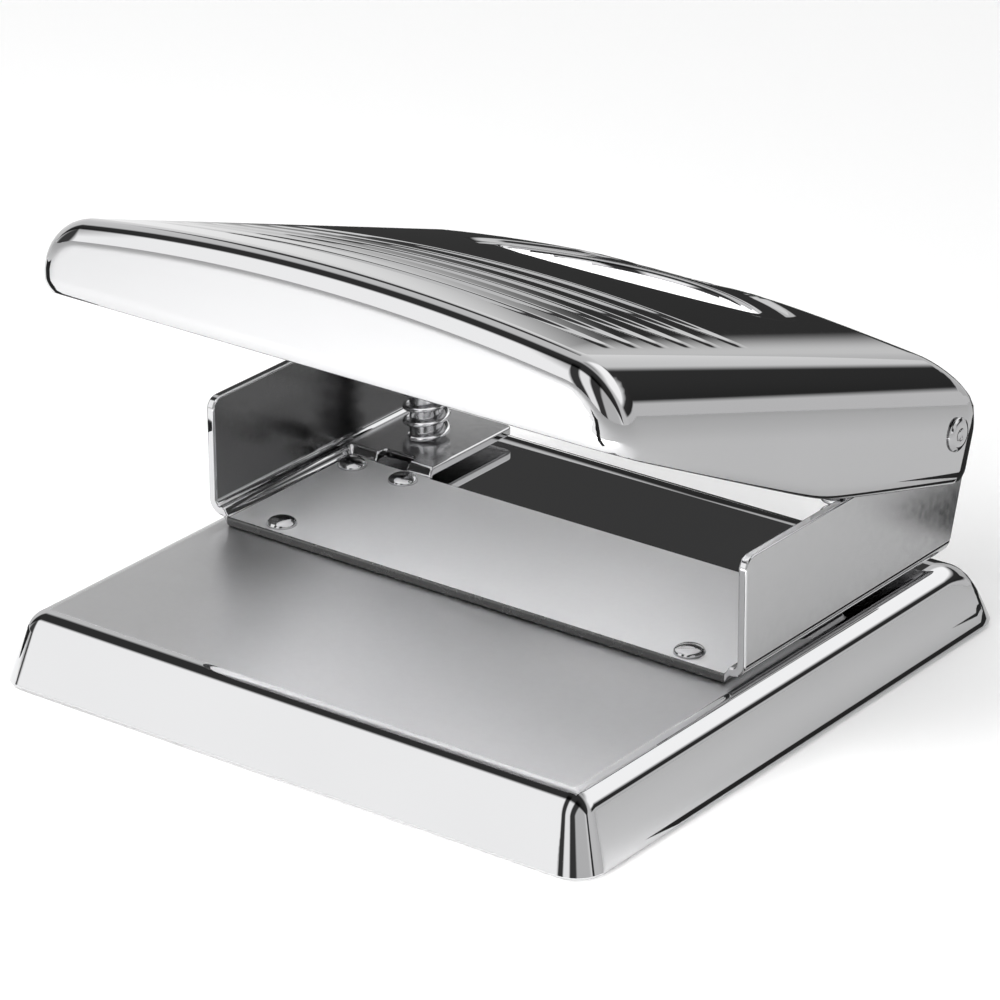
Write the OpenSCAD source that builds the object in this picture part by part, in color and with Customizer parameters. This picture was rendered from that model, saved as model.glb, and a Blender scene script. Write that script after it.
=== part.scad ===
// Two-hole punch: a pressed base, a folded frame with two ears, sprung punches and a hinged handle.
// Millimetres, +Z up. The origin is the middle of the footprint, on the table, and the front is -Y.
// Paper goes in from the rear, under the guide tabs, until it meets the rear edge of the frame's strip.

/* [Base] */
// Distance of the base's rim outside the ears, at each side
base_out = 4.6; // [3.6:0.1:12]
// Depth of the base at its rim
base_d = 109.4; // [106:0.2:130]
// Height of the flat top of the base above the table
base_h = 11.7; // [11:0.1:16]
// Thickness of the pressed base sheet
base_sheet = 1.2; // [0.8:0.1:1.6]
// Corner radius of the base in plan, at its rim
base_corner_r = 4.9; // [4.5:0.1:8]
// Share of the skirt's inset by which the corners get sharper towards the top
corner_taper = 0.55; // [0.4:0.05:0.7]
// Slope of the skirt away from upright, in degrees
skirt_draft = 18.5; // [10:0.5:20]
// Radius between the skirt and the flat top
base_edge_r = 2.7; // [2:0.1:3.5]
// Radius of the rounded rear edge that leads the paper in
rear_roll_r = 12.4; // [10:0.2:14]

/* [Frame] */
// Distance from a punch to the outer face of the ear on its side
ear_out = 10.4; // [9.8:0.1:12]
// Thickness of the frame sheet
frame_sheet = 1.5; // [1:0.1:1.8]
// Depth of the strip from its front edge to the paper stop
strip_d = 30.7; // [26:0.1:36]
// Distance of the paper stop in front of the base's rear rim
paper_run = 33.4; // [32:0.1:37]
// Gap for the paper under the guide tabs
throat = 1.4; // [1:0.1:2]
// Inner radius where the sheet folds up into an ear
bend_r = 1; // [0.6:0.1:1.5]
// Height of the straight part of the ears above the base
ear_h = 20.7; // [16:0.1:24]
// Radius of the front upper corner of the ears
ear_corner_r = 2; // [1:0.5:4]
// Radius of the rear lower corner of the ears
ear_heel_r = 4; // [2:0.5:6]
// Backward lean of the rear edge of the ears, in degrees
ear_lean = 16.5; // [8:0.5:18]
// Radius of the ear round the pivot
ear_boss_r = 4.6; // [4:0.1:4.8]
// Distance of the rear corner of the ears behind the pivot
ear_back = 7.2; // [5.5:0.1:7.5]
// Distance of the rear corner of the ears below the pivot
ear_back_drop = 7; // [5:0.1:9]
// Distance from the punch to the free side edge of its guide tab
tab_side = 9; // [7:0.5:12]
// Distance from the punch to the rear edge of its guide tab
tab_rear = 11; // [8:0.5:12]
// Width of the relief slot at the fold of a guide tab
slot_w = 6.2; // [4:0.2:8]
// Depth of the relief slot behind the paper stop
slot_d = 2.4; // [1.8:0.2:4]

/* [Handle] */
// Gap between an ear and the wall of the handle beside it
wall_gap = 1.4; // [1.2:0.1:2.4]
// Thickness of the pressed handle sheet
handle_sheet = 1.2; // [0.8:0.1:1.4]
// Height of the pivot above the table
pivot_z = 34.7; // [33:0.1:36]
// Distance of the pivot behind the punches
arm = 10; // [9:0.5:13]
// Slope of the handle at rest, in degrees
rest_tilt = 18; // [14:0.5:20]
// Length from the pivot to the lower front edge, along the handle
handle_front = 90.4; // [80:0.1:95]
// Length from the pivot to the rear of the handle
handle_rear = 7; // [5:0.1:9]
// Height of the crowned top above the pivot at mid width
crown_z = 13.4; // [13:0.05:18]
// Radius of the crown across the width
crown_r = 333; // [250:1:500]
// Radius along the top side edges of the handle
handle_side_r = 9; // [6:0.5:9.5]
// Radius of the upper front edge of the handle
handle_nose_r = 4.5; // [3:0.5:6]
// Radius of the upright front corners of the handle
handle_corner_r = 4; // [3:0.5:8]
// Radius of the rear upper edge of the handle
handle_rear_r = 11; // [8:0.5:12]
// Radius of the rear lower corner of the side walls
handle_heel_r = 4; // [2:0.5:5]
// Height of the front edge below the pivot line of the handle
front_drop = 2; // [1:0.1:5]
// Depth of the lowest point of the side walls below the pivot line
side_drop = 9.9; // [8.5:0.1:12]
// Length from the pivot to the lowest point of the side walls
side_drop_at = 33.1; // [30:0.1:45]
// Depth of the rear end of the side walls below the pivot line
rear_drop = 8; // [7:0.1:9]

/* [Handle grip and window] */
// Count of grooves across the top
groove_count = 6; // [3:1:7]
// Spacing of the grooves along the handle
groove_pitch = 6.8; // [5:0.1:7]
// Length from the pivot to the rear groove
groove_at = 46.3; // [44:0.1:52]
// Depth of a groove at mid width
groove_depth = 0.7; // [0.4:0.1:0.8]
// Radius of the tool that forms a groove
groove_r = 1.5; // [1:0.1:2.5]
// Half length of a groove, where it runs out to a point
groove_half = 41; // [34:1:42]
// Length from the pivot to the middle of the window
window_at = 15.2; // [14.5:0.1:20]
// Half width of the lens-shaped window
window_half_w = 9.6; // [6:0.1:10]
// Radius of the long sides of the window
window_side_r = 36; // [30:0.5:42]
// Radius of the two tips of the window
window_tip_r = 2; // [1:0.5:4]
// Width of the sunken border round the window
border_w = 5.5; // [2:0.5:6]
// Depth of the sunken border
border_depth = 0.5; // [0.2:0.1:0.6]
// Depth of the turned-down collar of the window below the crown
collar_depth = 4; // [2.5:0.5:5]

/* [Punches] */
// Distance between the two punched holes
hole_spacing = 80; // [78:0.5:82]
// Distance from the paper's edge to the middle of the holes
hole_margin = 11; // [11:0.5:13]
// Diameter of the punches
punch_d = 5.5; // [5:0.1:6]
// Height of the punch tip above the lower face of the guide tab, at rest
tip_lift = 0.2; // [0:0.1:0.6]
// Height of the press lug's face above the pivot line of the handle
pad_z = 3; // [2:0.1:4]
// Width of a press lug
lug_w = 12; // [8:0.5:13]
// Length of a press lug along the handle
lug_l = 10; // [8:0.5:11]
// Thickness of the press lug sheet
lug_sheet = 1.6; // [1:0.1:2]
// Thickness of the die plates under the base
die_t = 2; // [1.5:0.1:2.5]
// Distance from the middle of a guide tab to the side edges of its die plate
die_side = 8.5; // [7.5:0.1:8.8]
// Distance from the punch to the rear edge of its die plate
die_rear = 7; // [6:0.5:8]
// Corner radius of the die plates
die_corner_r = 2; // [1:0.5:3]

/* [Springs] */
// Clearance between a punch and the inside of its return spring
spring_clear = 0.3; // [0.2:0.05:0.5]
// Diameter of the spring wire
wire_d = 0.85; // [0.7:0.05:0.95]
// Count of turns of a spring
spring_turns = 8; // [6:1:9]
// Wall of the skirt of the spring cups
cup_wall = 0.6; // [0.4:0.1:0.9]
// Thickness of the spring cups
cup_t = 0.8; // [0.6:0.1:1.2]
// Depth of the skirt of the spring cups
cup_skirt = 1.2; // [0.8:0.1:2]
// Thickness of the retaining rings
ring_t = 0.8; // [0.6:0.1:1]
// Width of the retaining rings outside the punch
ring_w = 1.2; // [0.8:0.1:1.4]
// Depth of the ring groove in a punch
ring_groove = 0.5; // [0.3:0.1:0.7]

/* [Fasteners] */
// Radius of the rivet heads
rivet_r = 2.4; // [2:0.1:2.6]
// Height of the rivet heads
rivet_h = 1.1; // [0.6:0.1:1.5]
// Radius of the rivet shanks
rivet_shank_r = 1.5; // [1.2:0.1:1.8]
// Height of the closed rivet tails under the base
rivet_tail_h = 0.8; // [0.5:0.1:0.9]
// Amount by which a rivet tail is smaller in radius than its head
rivet_tail_in = 0.4; // [0.2:0.1:0.5]
// Distance of the front rivets inside the outer faces of the ears
front_rivet_in = 12; // [8.5:0.1:16]
// Distance of the front rivets behind the strip's front edge
front_rivet_y = 3.2; // [3:0.1:5]
// Distance of the guide rivets to each side of the middle of their tab
guide_rivet_x = 5.1; // [4.4:0.1:5.2]
// Distance of the guide rivets in front of the paper stop
guide_rivet_y = 3.3; // [2.9:0.1:5]
// Diameter of the pivot axle
axle_d = 4; // [3:0.1:5]
// Radius of the domed axle heads
axle_head_r = 2.9; // [2.7:0.1:3.4]
// Height of the domed axle heads
axle_head_h = 1.3; // [0.8:0.1:1.6]
// Radius of the pivot washers
washer_r = 3.3; // [3.1:0.1:3.4]

/* [Chip cover] */
// Thickness of the cover plate
cover_t = 1.4; // [1.2:0.1:2]
// Distance of the chip wall from the rim of the base, at the sides
chip_wall_side = 5; // [4.5:0.1:6]
// Distance of the chip wall from the rim of the base, at the front and rear
chip_wall_end = 8; // [7:0.5:12]
// Height of the chip wall above the cover plate
chip_wall_h = 5; // [3:0.5:5.2]
// Thickness of the chip wall
chip_wall_t = 1.2; // [0.8:0.1:2]
// Corner radius of the chip wall
chip_corner_r = 3; // [2.5:0.5:5]
// Radius of the posts that carry the base on the cover
post_r = 3; // [2:0.5:4]
// Radius of the rubber foot pads
foot_r = 5; // [4:0.5:6]
// Distance of the foot pads from the rim of the base
foot_in = 12; // [10:0.5:16]
// Height that the foot pads lift the rim off the table
foot_stand = 0.6; // [0.4:0.1:1]
// Depth of the pad recesses in the cover
foot_sink = 0.6; // [0.3:0.1:0.8]
// Radius of the thumb notch in the front edge of the cover
notch_r = 4; // [3:0.5:5]

/* [Clearances] */
// Radial clearance of turning and sliding fits
run_clear = 0.05; // [0.02:0.01:0.1]
// Gap between parts that only meet in use
seat_gap = 0.3; // [0.2:0.05:0.4]
// Radial clearance of pieces that are fixed in a hole
fix_clear = 0.03; // [0.02:0.01:0.1]
// Gap all round the cover inside the rim
cover_gap = 0.25; // [0.2:0.05:0.4]

/* [Hidden] */
$fn = 64;
big_fn = 360;
over = 1;
nip = 0.01;
far = 200;

// Base: heights and the skirt's section
rim_z = foot_stand;
edge_cz = base_h - base_edge_r;
skirt_inset = (edge_cz - rim_z) * tan(skirt_draft) + base_edge_r / cos(skirt_draft);
under_z = base_h - base_sheet;
wall_steps = 5;
edge_steps = 6;
corner_steps = 8;

// Frame: places and levels of the sheet
punch_x = hole_spacing / 2;
stop_y = base_d / 2 - paper_run;
punch_y = stop_y + hole_margin;
strip_front = stop_y - strip_d;
strip_top = base_h + frame_sheet;
tab_z = base_h + throat;
tab_top = tab_z + frame_sheet;
ear_x = punch_x + ear_out;
frame_w = 2 * ear_x;
base_w = frame_w + 2 * base_out;
ear_in = ear_x - frame_sheet;
bend_out = bend_r + frame_sheet;
bend_x = ear_x - bend_out;
bend_z = tab_z + bend_out;
fold_run = 1.2;
fold_land = 0.2;
raised_x = bend_x - fold_land;
low_x = raised_x - fold_run;
tab_front = stop_y + fold_run;
ear_top = base_h + ear_h;
pivot_y = punch_y + arm;
rise = 30;
tab_in = punch_x - tab_side;
tab_mid = (tab_in + low_x) / 2;

// Handle: half width, places along it and the lens of the window
handle_in = ear_x + wall_gap;
handle_half = handle_in + handle_sheet;
handle_w = 2 * handle_half;
round_steps = 8;
crown_steps = 24;
lens_steps = 20;
ear_swing = 0.7;
rear_open_z = ear_boss_r + ear_swing;
groove_spare = 1.2;

// Punches and springs: levels at rest
punch_r = punch_d / 2;
dome_z = pivot_z + (pad_z - punch_r - seat_gap + arm * sin(rest_tilt)) / cos(rest_tilt);
ring_land = 0.6;
ring_top = dome_z - ring_land;
cup_top = ring_top - ring_t;
cup_z = cup_top - cup_t;
tip_z = tab_z + tip_lift;
contact_y = -arm * cos(rest_tilt) - (dome_z - pivot_z) * sin(rest_tilt);
tip_share = 0.8;
ring_mouth = 0.9;
coil_r = punch_r + spring_clear + wire_d / 2;
cup_in = coil_r + wire_d / 2 + seat_gap;
coil_start = 280;
wire_seat = 0.05;
coil_z0 = tab_top + wire_seat + wire_d / 2;
coil_z1 = cup_z - seat_gap - wire_d / 2;
curl_rings = 8;
wire_sides = 6;

// Fasteners and washers
guide_rivet_row = stop_y - guide_rivet_y;
front_rivet_x = ear_x - front_rivet_in;
front_rivet_row = strip_front + front_rivet_y;
axle_r = axle_d / 2;
die_low = under_z - die_t;
washer_gap = 0.3;

// Chip cover: its plate follows the inside of the rim
plate_top = rim_z + cover_t;
plate_in = base_sheet / cos(skirt_draft) + cover_t * tan(skirt_draft) + cover_gap;
post_gap = 0.1;

chrome = [0.80, 0.81, 0.83];
steel = [0.62, 0.63, 0.65];
dark_steel = [0.35, 0.36, 0.38];
black_plastic = [0.10, 0.10, 0.11];
rubber = [0.05, 0.05, 0.05];
nylon = [0.90, 0.90, 0.88];

// A 2D section drawn as (y, z), carried along X over a length about the middle
module along_x(length) {
    rotate([90, 0, 90]) linear_extrude(length, center = true) children();
}

// A 2D section drawn as (x, z), carried along Y over a length about the middle
module along_y(length) {
    rotate([90, 0, 0]) linear_extrude(length, center = true) children();
}

// A rectangle with round corners, about its middle
module round_rect(w, d, r) {
    square([w - 2 * r, d], center = true);
    square([w, d - 2 * r], center = true);
    for (sx = [-1, 1], sy = [-1, 1])
        translate([sx * (w / 2 - r), sy * (d / 2 - r)]) circle(r);
}

// Points of an arc about a middle, from one angle to another
function arc(mid, r, a0, a1, n) = [
    for (i = [0 : n]) let (a = a0 + (a1 - a0) * i / n) mid + r * [cos(a), sin(a)]
];

// Triangles of the skin over a count of rings of n points each
function skin(count, n) = [
    for (i = [0 : count - 2], k = [0 : n - 1], half = [0, 1])
        let (a = i * n + k)
        let (b = i * n + (k + 1) % n)
        half == 0 ? [a, b + n, b] : [a, a + n, b + n]
];

// A closed skin over rings of equal count, with a flat cap at each end
module loft(rings) {
    n = len(rings[0]);
    last = (len(rings) - 1) * n;
    caps = [[for (k = [0 : n - 1]) k], [for (k = [n - 1 : -1 : 0]) last + k]];
    polyhedron([for (ring = rings) each ring], concat(skin(len(rings), n), caps));
}

// A flattened dome on the XY plane
module dome(r, h) {
    ball = (r * r + h * h) / (2 * h);
    rotate_extrude() intersection() {
        translate([0, h - ball]) circle(ball);
        square([r + over, h + over]);
    }
}

// Heights and insets of the base's section, from rim to flat top; off is the depth below the outer skin
function skirt_levels(off) = let (r = base_edge_r - off, wall_in = off / cos(skirt_draft)) concat(
    [for (i = [0 : wall_steps - 1])
        let (z = rim_z + (edge_cz + r * sin(skirt_draft) - rim_z) * i / wall_steps)
        [z, wall_in + (z - rim_z) * tan(skirt_draft)]],
    [for (i = [0 : edge_steps])
        let (a = skirt_draft + (90 - skirt_draft) * i / edge_steps)
        [edge_cz + r * sin(a), skirt_inset - r * cos(a)]]
);

// Place of the rear face at a height, where the large round edge cuts the skirt back
function rear_face(z, inset, off) = min(
    base_d / 2 - inset,
    base_d / 2 - rear_roll_r + sqrt(max(0, pow(rear_roll_r - off, 2) - pow(z - base_h + rear_roll_r, 2)))
);

// One level of the base as a ring: a rectangle with round corners
function pan_ring(level, off) =
    let (r = base_corner_r - off - corner_taper * (level[1] - off))
    let (corner_x = base_w / 2 - level[1] - r)
    let (front = level[1] + r - base_d / 2)
    let (rear = rear_face(level[0], level[1], off) - r)
    [
        for (p = concat(
            arc([corner_x, rear], r, 0, 90, corner_steps),
            arc([-corner_x, rear], r, 90, 180, corner_steps),
            arc([-corner_x, front], r, 180, 270, corner_steps),
            arc([corner_x, front], r, 270, 360, corner_steps)
        )) [p[0], p[1], level[0]]
    ];

// Drills both sides at a place given for the right side
module both_holes(x, y, z0, z1, r) {
    for (s = [-1, 1]) translate([s * x, y, z0]) cylinder(z1 - z0, r = r);
}

// Drills the four guide rivet holes
module guide_rivet_holes(z0, z1) {
    for (d = [-1, 1])
        both_holes(tab_mid + d * guide_rivet_x, guide_rivet_row, z0, z1, rivet_shank_r + fix_clear);
}

module base_pan() {
    inside = [for (level = skirt_levels(base_sheet)) pan_ring(level, base_sheet)];
    outside = [for (level = skirt_levels(0)) pan_ring(level, 0)];
    color(chrome) difference() {
        loft(concat([for (i = [len(inside) - 1 : -1 : 0]) inside[i]], outside));
        both_holes(punch_x, punch_y, under_z - over, base_h + over, punch_r + seat_gap);
        both_holes(front_rivet_x, front_rivet_row, under_z - over, base_h + over, rivet_shank_r + fix_clear);
        guide_rivet_holes(under_z - over, base_h + over);
    }
}

// Hardened plate under the base, with the die hole and a wider way out for the chips
module die_plate(side) {
    y0 = guide_rivet_row - rivet_r - over;
    y1 = punch_y + die_rear;
    color(dark_steel) difference() {
        translate([side * tab_mid, (y0 + y1) / 2, die_low]) linear_extrude(die_t)
            round_rect(2 * die_side, y1 - y0, die_corner_r);
        translate([side * punch_x, punch_y, die_low - over]) {
            cylinder(die_t + 2 * over, r = punch_r + run_clear);
            cylinder(die_t / 2 + over, r = punch_r + seat_gap);
        }
        guide_rivet_holes(die_low - over, under_z + over);
    }
}

// Outline of an ear, from the strip's front edge to the round end at the pivot
module ear_outline() {
    heel_z = tab_z + ear_heel_r;
    back = [pivot_y + ear_back, pivot_z - ear_back_drop];
    boss_top = [pivot_y - ear_boss_r * sin(rise), pivot_z + ear_boss_r * cos(rise)];
    heel_y = back[0] - (back[1] - heel_z) * tan(ear_lean) - ear_heel_r / cos(ear_lean);
    polygon([
        [strip_front, tab_z], [heel_y, tab_z],
        [heel_y + ear_heel_r * cos(ear_lean), heel_z - ear_heel_r * sin(ear_lean)],
        back, [pivot_y + ear_boss_r, pivot_z], boss_top,
        [boss_top[0] - (boss_top[1] - ear_top) / tan(rise), ear_top],
        [strip_front + ear_corner_r, ear_top], [strip_front, ear_top - ear_corner_r]
    ]);
    translate([heel_y, heel_z]) circle(ear_heel_r);
    translate([pivot_y, pivot_z]) circle(ear_boss_r);
    translate([strip_front + ear_corner_r, ear_top - ear_corner_r]) circle(ear_corner_r);
}

// Section of the strip with the step up to its raised side flanges
module strip_section() {
    polygon([
        [-raised_x, tab_z], [-low_x, base_h], [low_x, base_h], [raised_x, tab_z],
        [raised_x, tab_top], [low_x, strip_top], [-low_x, strip_top], [-raised_x, tab_top]
    ]);
}

// Section of one raised flange, its fold and its ear, for the right side
module ear_section() {
    translate([raised_x, tab_z]) square([fold_land, frame_sheet]);
    translate([bend_x, bend_z]) intersection() {
        difference() {
            circle(bend_out);
            circle(bend_r);
        }
        translate([0, -far]) square(far);
    }
    translate([ear_in, bend_z]) square([frame_sheet, far / 2]);
}

module frame_ear() {
    intersection() {
        along_y(far) ear_section();
        along_x(far) ear_outline();
    }
}

// Raised guide tab of the right side, with the fold that joins it to the strip
module guide_tab() {
    tab_w = raised_x + fold_land - tab_in;
    translate([tab_in, tab_front, tab_z])
        cube([tab_w, punch_y + tab_rear - tab_front, frame_sheet]);
    translate([(tab_in + raised_x) / 2, 0, 0]) along_x(raised_x - tab_in) polygon([
        [stop_y - nip, base_h], [stop_y, base_h], [tab_front, tab_z], [tab_front + nip, tab_z],
        [tab_front + nip, tab_top], [tab_front, tab_top], [stop_y, strip_top], [stop_y - nip, strip_top]
    ]);
}

module frame() {
    color(chrome) difference() {
        union() {
            translate([0, stop_y - strip_d / 2, 0]) along_y(strip_d) strip_section();
            for (s = [0, 1]) mirror([s, 0, 0]) {
                frame_ear();
                guide_tab();
            }
        }
        for (s = [-1, 1]) translate([s * tab_mid - slot_w / 2, stop_y - nip, base_h - over])
            cube([slot_w, slot_d, tab_top - base_h + 2 * over]);
        both_holes(punch_x, punch_y, tab_z - over, tab_top + over, punch_r + run_clear);
        both_holes(front_rivet_x, front_rivet_row, base_h - over, strip_top + over,
            rivet_shank_r + fix_clear);
        guide_rivet_holes(base_h - over, strip_top + over);
        translate([0, pivot_y, pivot_z]) rotate([0, 90, 0])
            cylinder(frame_w + 2 * over, r = axle_r + run_clear, center = true);
    }
}

// Domed rivet that clamps everything between the strip's top and a level below
module rivet(low_z) {
    translate([0, 0, strip_top]) dome(rivet_r, rivet_h);
    translate([0, 0, low_z]) cylinder(strip_top - low_z, r = rivet_shank_r);
    translate([0, 0, low_z - rivet_tail_h]) cylinder(rivet_tail_h, r = rivet_r - rivet_tail_in);
}

module front_rivets() {
    color(chrome) for (s = [-1, 1]) translate([s * front_rivet_x, front_rivet_row, 0]) rivet(under_z);
}

module guide_rivets() {
    color(chrome) for (s = [-1, 1], d = [-1, 1])
        translate([s * tab_mid + d * guide_rivet_x, guide_rivet_row, 0]) rivet(die_low);
}

// Sets a shape drawn along the handle, with the pivot at its origin, at the rest slope
module at_rest() {
    translate([0, pivot_y, pivot_z]) rotate([-rest_tilt, 0, 0]) children();
}

// Middle of the round nose of the handle, between its top and its front face
function nose_mid() =
    let (z = crown_z - handle_nose_r)
    [-handle_front - (z + front_drop) * tan(rest_tilt) + handle_nose_r / cos(rest_tilt), z];

// Middle of the round rear edge of the handle
function tail_mid() = [handle_rear - handle_rear_r, crown_z - handle_rear_r];

// Side view of the handle's outside along its length, with the pivot at the origin
module handle_side() {
    slope = atan((side_drop - rear_drop) / (side_drop_at + handle_rear));
    heel = [
        handle_rear - handle_heel_r,
        -rear_drop - handle_heel_r * tan(slope) + handle_heel_r / cos(slope)
    ];
    polygon(concat(
        [[-handle_front, -front_drop], [-side_drop_at, -side_drop]],
        arc(heel, handle_heel_r, slope - 90, 0, round_steps),
        arc(tail_mid(), handle_rear_r, 0, 90, round_steps),
        arc(nose_mid(), handle_nose_r, 90, 180 + rest_tilt, round_steps)
    ));
}

// Side view of the hollow of the handle, open below and, under the rear edge, behind
module hollow_side() {
    r = handle_nose_r - handle_sheet;
    deep = side_drop + far / 4;
    nose = arc(nose_mid(), r, 90, 180 + rest_tilt, round_steps);
    foot = nose[round_steps];
    bow = arc(tail_mid(), handle_rear_r - handle_sheet, 0, 90, round_steps);
    tail = [for (p = bow) if (p[1] > rear_open_z) p];
    polygon(concat(
        [[foot[0] + (foot[1] + deep) * tan(rest_tilt), -deep], [far / 4, -deep], [far / 4, rear_open_z]],
        [[tail[0][0], rear_open_z]], tail, nose
    ));
}

// Section across the handle: a crown between two upright walls; off is the depth below the skin
module handle_section(off) {
    half = handle_half - off;
    r = handle_side_r - off;
    top_r = crown_r - off;
    cx = half - r;
    mid = [0, crown_z - crown_r];
    cz = mid[1] + sqrt(pow(top_r - r, 2) - cx * cx);
    turn = asin(cx / (top_r - r));
    polygon(concat(
        [[-half, -far / 2], [half, -far / 2]],
        arc([cx, cz], r, 0, 90 - turn, round_steps),
        arc(mid, top_r, 90 - turn, 90 + turn, crown_steps),
        arc([-cx, cz], r, 90 + turn, 180, round_steps)
    ));
}

// Plan of the handle at rest: straight front with two round corners
module handle_plan(off) {
    front = pivot_y - handle_front * cos(rest_tilt) - front_drop * sin(rest_tilt) + off;
    rear = pivot_y + far / 2;
    half = handle_half - off;
    r = handle_corner_r - off;
    polygon(concat(
        [[half, rear], [-half, rear]],
        arc([r - half, front + r], r, 180, 270, corner_steps),
        arc([half - r, front + r], r, 270, 360, corner_steps)
    ));
}

module handle_solid(off) {
    intersection() {
        at_rest() along_x(far) if (off == 0) handle_side(); else hollow_side();
        at_rest() along_y(2 * far) handle_section(off);
        linear_extrude(far) handle_plan(off);
    }
}

// Lens of the window, grown by an amount all round: two long sides and two small round tips
module window_lens(grow) {
    shift = window_side_r - window_half_w;
    tip_x = sqrt(pow(window_side_r - window_tip_r, 2) - shift * shift);
    turn = atan2(shift, tip_x);
    side_r = window_side_r + grow;
    tip_r = window_tip_r + grow;
    translate([0, -window_at]) polygon(concat(
        arc([tip_x, 0], tip_r, -turn, turn, round_steps),
        arc([0, -shift], side_r, turn, 180 - turn, lens_steps),
        arc([-tip_x, 0], tip_r, 180 - turn, 180 + turn, round_steps),
        arc([0, shift], side_r, 180 + turn, 360 - turn, lens_steps)
    ));
}

// The round crown of the handle as a bar along its length, sunk by an amount
module crown_bar(sink) {
    translate([0, 0, crown_z - crown_r]) rotate([90, 0, 0])
        cylinder(2 * far, r = crown_r - sink, center = true, $fn = big_fn);
}

// One groove of the grip, which runs out to a point at both ends of the crown
module groove() {
    path_r = 1 / (1 / crown_r - 2 * groove_depth / pow(groove_half, 2));
    sweep = 2 * atan(groove_half * groove_spare / path_r);
    translate([0, 0, crown_z - groove_depth - path_r]) rotate([90, 0, 0])
        rotate([0, 0, 90 - sweep / 2]) rotate_extrude(angle = sweep, $fn = 4 * big_fn)
            translate([path_r + groove_r, 0]) circle(groove_r, $fn = 32);
}

module handle() {
    color(chrome) difference() {
        union() {
            difference() {
                handle_solid(0);
                handle_solid(handle_sheet);
            }
            at_rest() intersection() {
                crown_bar(border_depth);
                translate([0, 0, crown_z - collar_depth]) linear_extrude(collar_depth)
                    window_lens(handle_sheet);
            }
        }
        at_rest() {
            translate([0, 0, crown_z - collar_depth - over]) linear_extrude(collar_depth + 2 * over)
                window_lens(0);
            difference() {
                translate([0, 0, crown_z - collar_depth]) linear_extrude(collar_depth + over)
                    window_lens(border_w);
                crown_bar(border_depth);
            }
            for (i = [0 : groove_count - 1])
                translate([0, -groove_at - i * groove_pitch, 0]) groove();
            rotate([0, 90, 0]) cylinder(handle_w + 2 * over, r = axle_r + fix_clear, center = true);
        }
    }
}

// Folded bracket under the handle's top that pushes a punch down
module press_lug(side) {
    color(steel) at_rest() intersection() {
        translate([side * punch_x, contact_y, 0]) along_x(lug_w) difference() {
            translate([-lug_l / 2, pad_z]) square([lug_l, crown_z]);
            translate([-lug_l / 2 + lug_sheet, pad_z + lug_sheet]) square([lug_l - 2 * lug_sheet, crown_z]);
        }
        along_y(2 * far) handle_section(handle_sheet);
    }
}

// Axle that turns in the ears, riveted over outside both walls of the handle
module pivot_axle() {
    color(chrome) translate([0, pivot_y, pivot_z]) {
        rotate([0, 90, 0]) cylinder(handle_w, r = axle_r, center = true);
        for (s = [-1, 1]) translate([s * handle_half, 0, 0]) rotate([0, s * 90, 0])
            dome(axle_head_r, axle_head_h);
    }
}

// Washer that keeps a wall of the handle off its ear
module pivot_washer(side) {
    color(nylon) translate([side * (ear_x + washer_gap), pivot_y, pivot_z]) rotate([0, side * 90, 0])
        difference() {
            cylinder(wall_gap - 2 * washer_gap, r = washer_r);
            translate([0, 0, -over]) cylinder(handle_w, r = axle_r + fix_clear);
        }
}

// Punch with a hollow cutting end, a ring groove and a round head
module punch(side) {
    color(steel) translate([side * punch_x, punch_y, 0]) difference() {
        union() {
            translate([0, 0, tip_z]) cylinder(dome_z - tip_z, r = punch_r);
            translate([0, 0, dome_z]) sphere(punch_r);
        }
        translate([0, 0, tip_z - nip]) cylinder(punch_r / 2, r1 = punch_r * tip_share, r2 = 0);
        translate([0, 0, cup_top]) difference() {
            cylinder(ring_t, r = punch_r + over);
            cylinder(ring_t, r = punch_r - ring_groove);
        }
    }
}

// Cup that closes the top of a return spring
module spring_cup(side) {
    color(steel) translate([side * punch_x, punch_y, cup_z]) difference() {
        translate([0, 0, -cup_skirt]) cylinder(cup_t + cup_skirt, r = cup_in + cup_wall);
        translate([0, 0, -cup_skirt - over]) cylinder(cup_skirt + over, r = cup_in);
        cylinder(cup_t + over, r = punch_r + fix_clear);
    }
}

// Open ring that snaps into the groove of a punch and holds the cup down
module retaining_ring(side) {
    ring_in = punch_r - ring_groove + fix_clear;
    color(dark_steel) translate([side * punch_x, punch_y, cup_top]) difference() {
        cylinder(ring_t, r = punch_r + ring_w);
        translate([0, 0, -over]) cylinder(ring_t + 2 * over, r = ring_in);
        translate([-ring_in * ring_mouth, -2 * punch_r, -over])
            cube([2 * ring_in * ring_mouth, 2 * punch_r, ring_t + 2 * over]);
    }
}

// Return spring: middles of the wire along an even helix, with a short straight run at each end
coil_steps = spring_turns * curl_rings;
function coil_turn(i) = coil_start + 360 * i / curl_rings;
function coil_out(i) = [cos(coil_turn(i)), sin(coil_turn(i)), 0];
function coil_along(i) = [-sin(coil_turn(i)), cos(coil_turn(i)), 0];
function coil_mid(i) = coil_r * coil_out(i) + [0, 0, coil_z0 + (coil_z1 - coil_z0) * i / coil_steps];
wire_mids = concat(
    [coil_mid(0) - wire_d * coil_along(0)],
    [for (i = [0 : coil_steps]) coil_mid(i)],
    [coil_mid(coil_steps) + wire_d * coil_along(coil_steps)]
);
wire_outs = concat([coil_out(0)], [for (i = [0 : coil_steps]) coil_out(i)], [coil_out(coil_steps)]);
wire_gap = min([
    for (i = [0 : len(wire_mids) - 1], j = [i + curl_rings / 2 : 1 : len(wire_mids) - 1])
        norm(wire_mids[i] - wire_mids[j])
]) - wire_d;
echo(least_gap_of_spring_wire = wire_gap);

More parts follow.
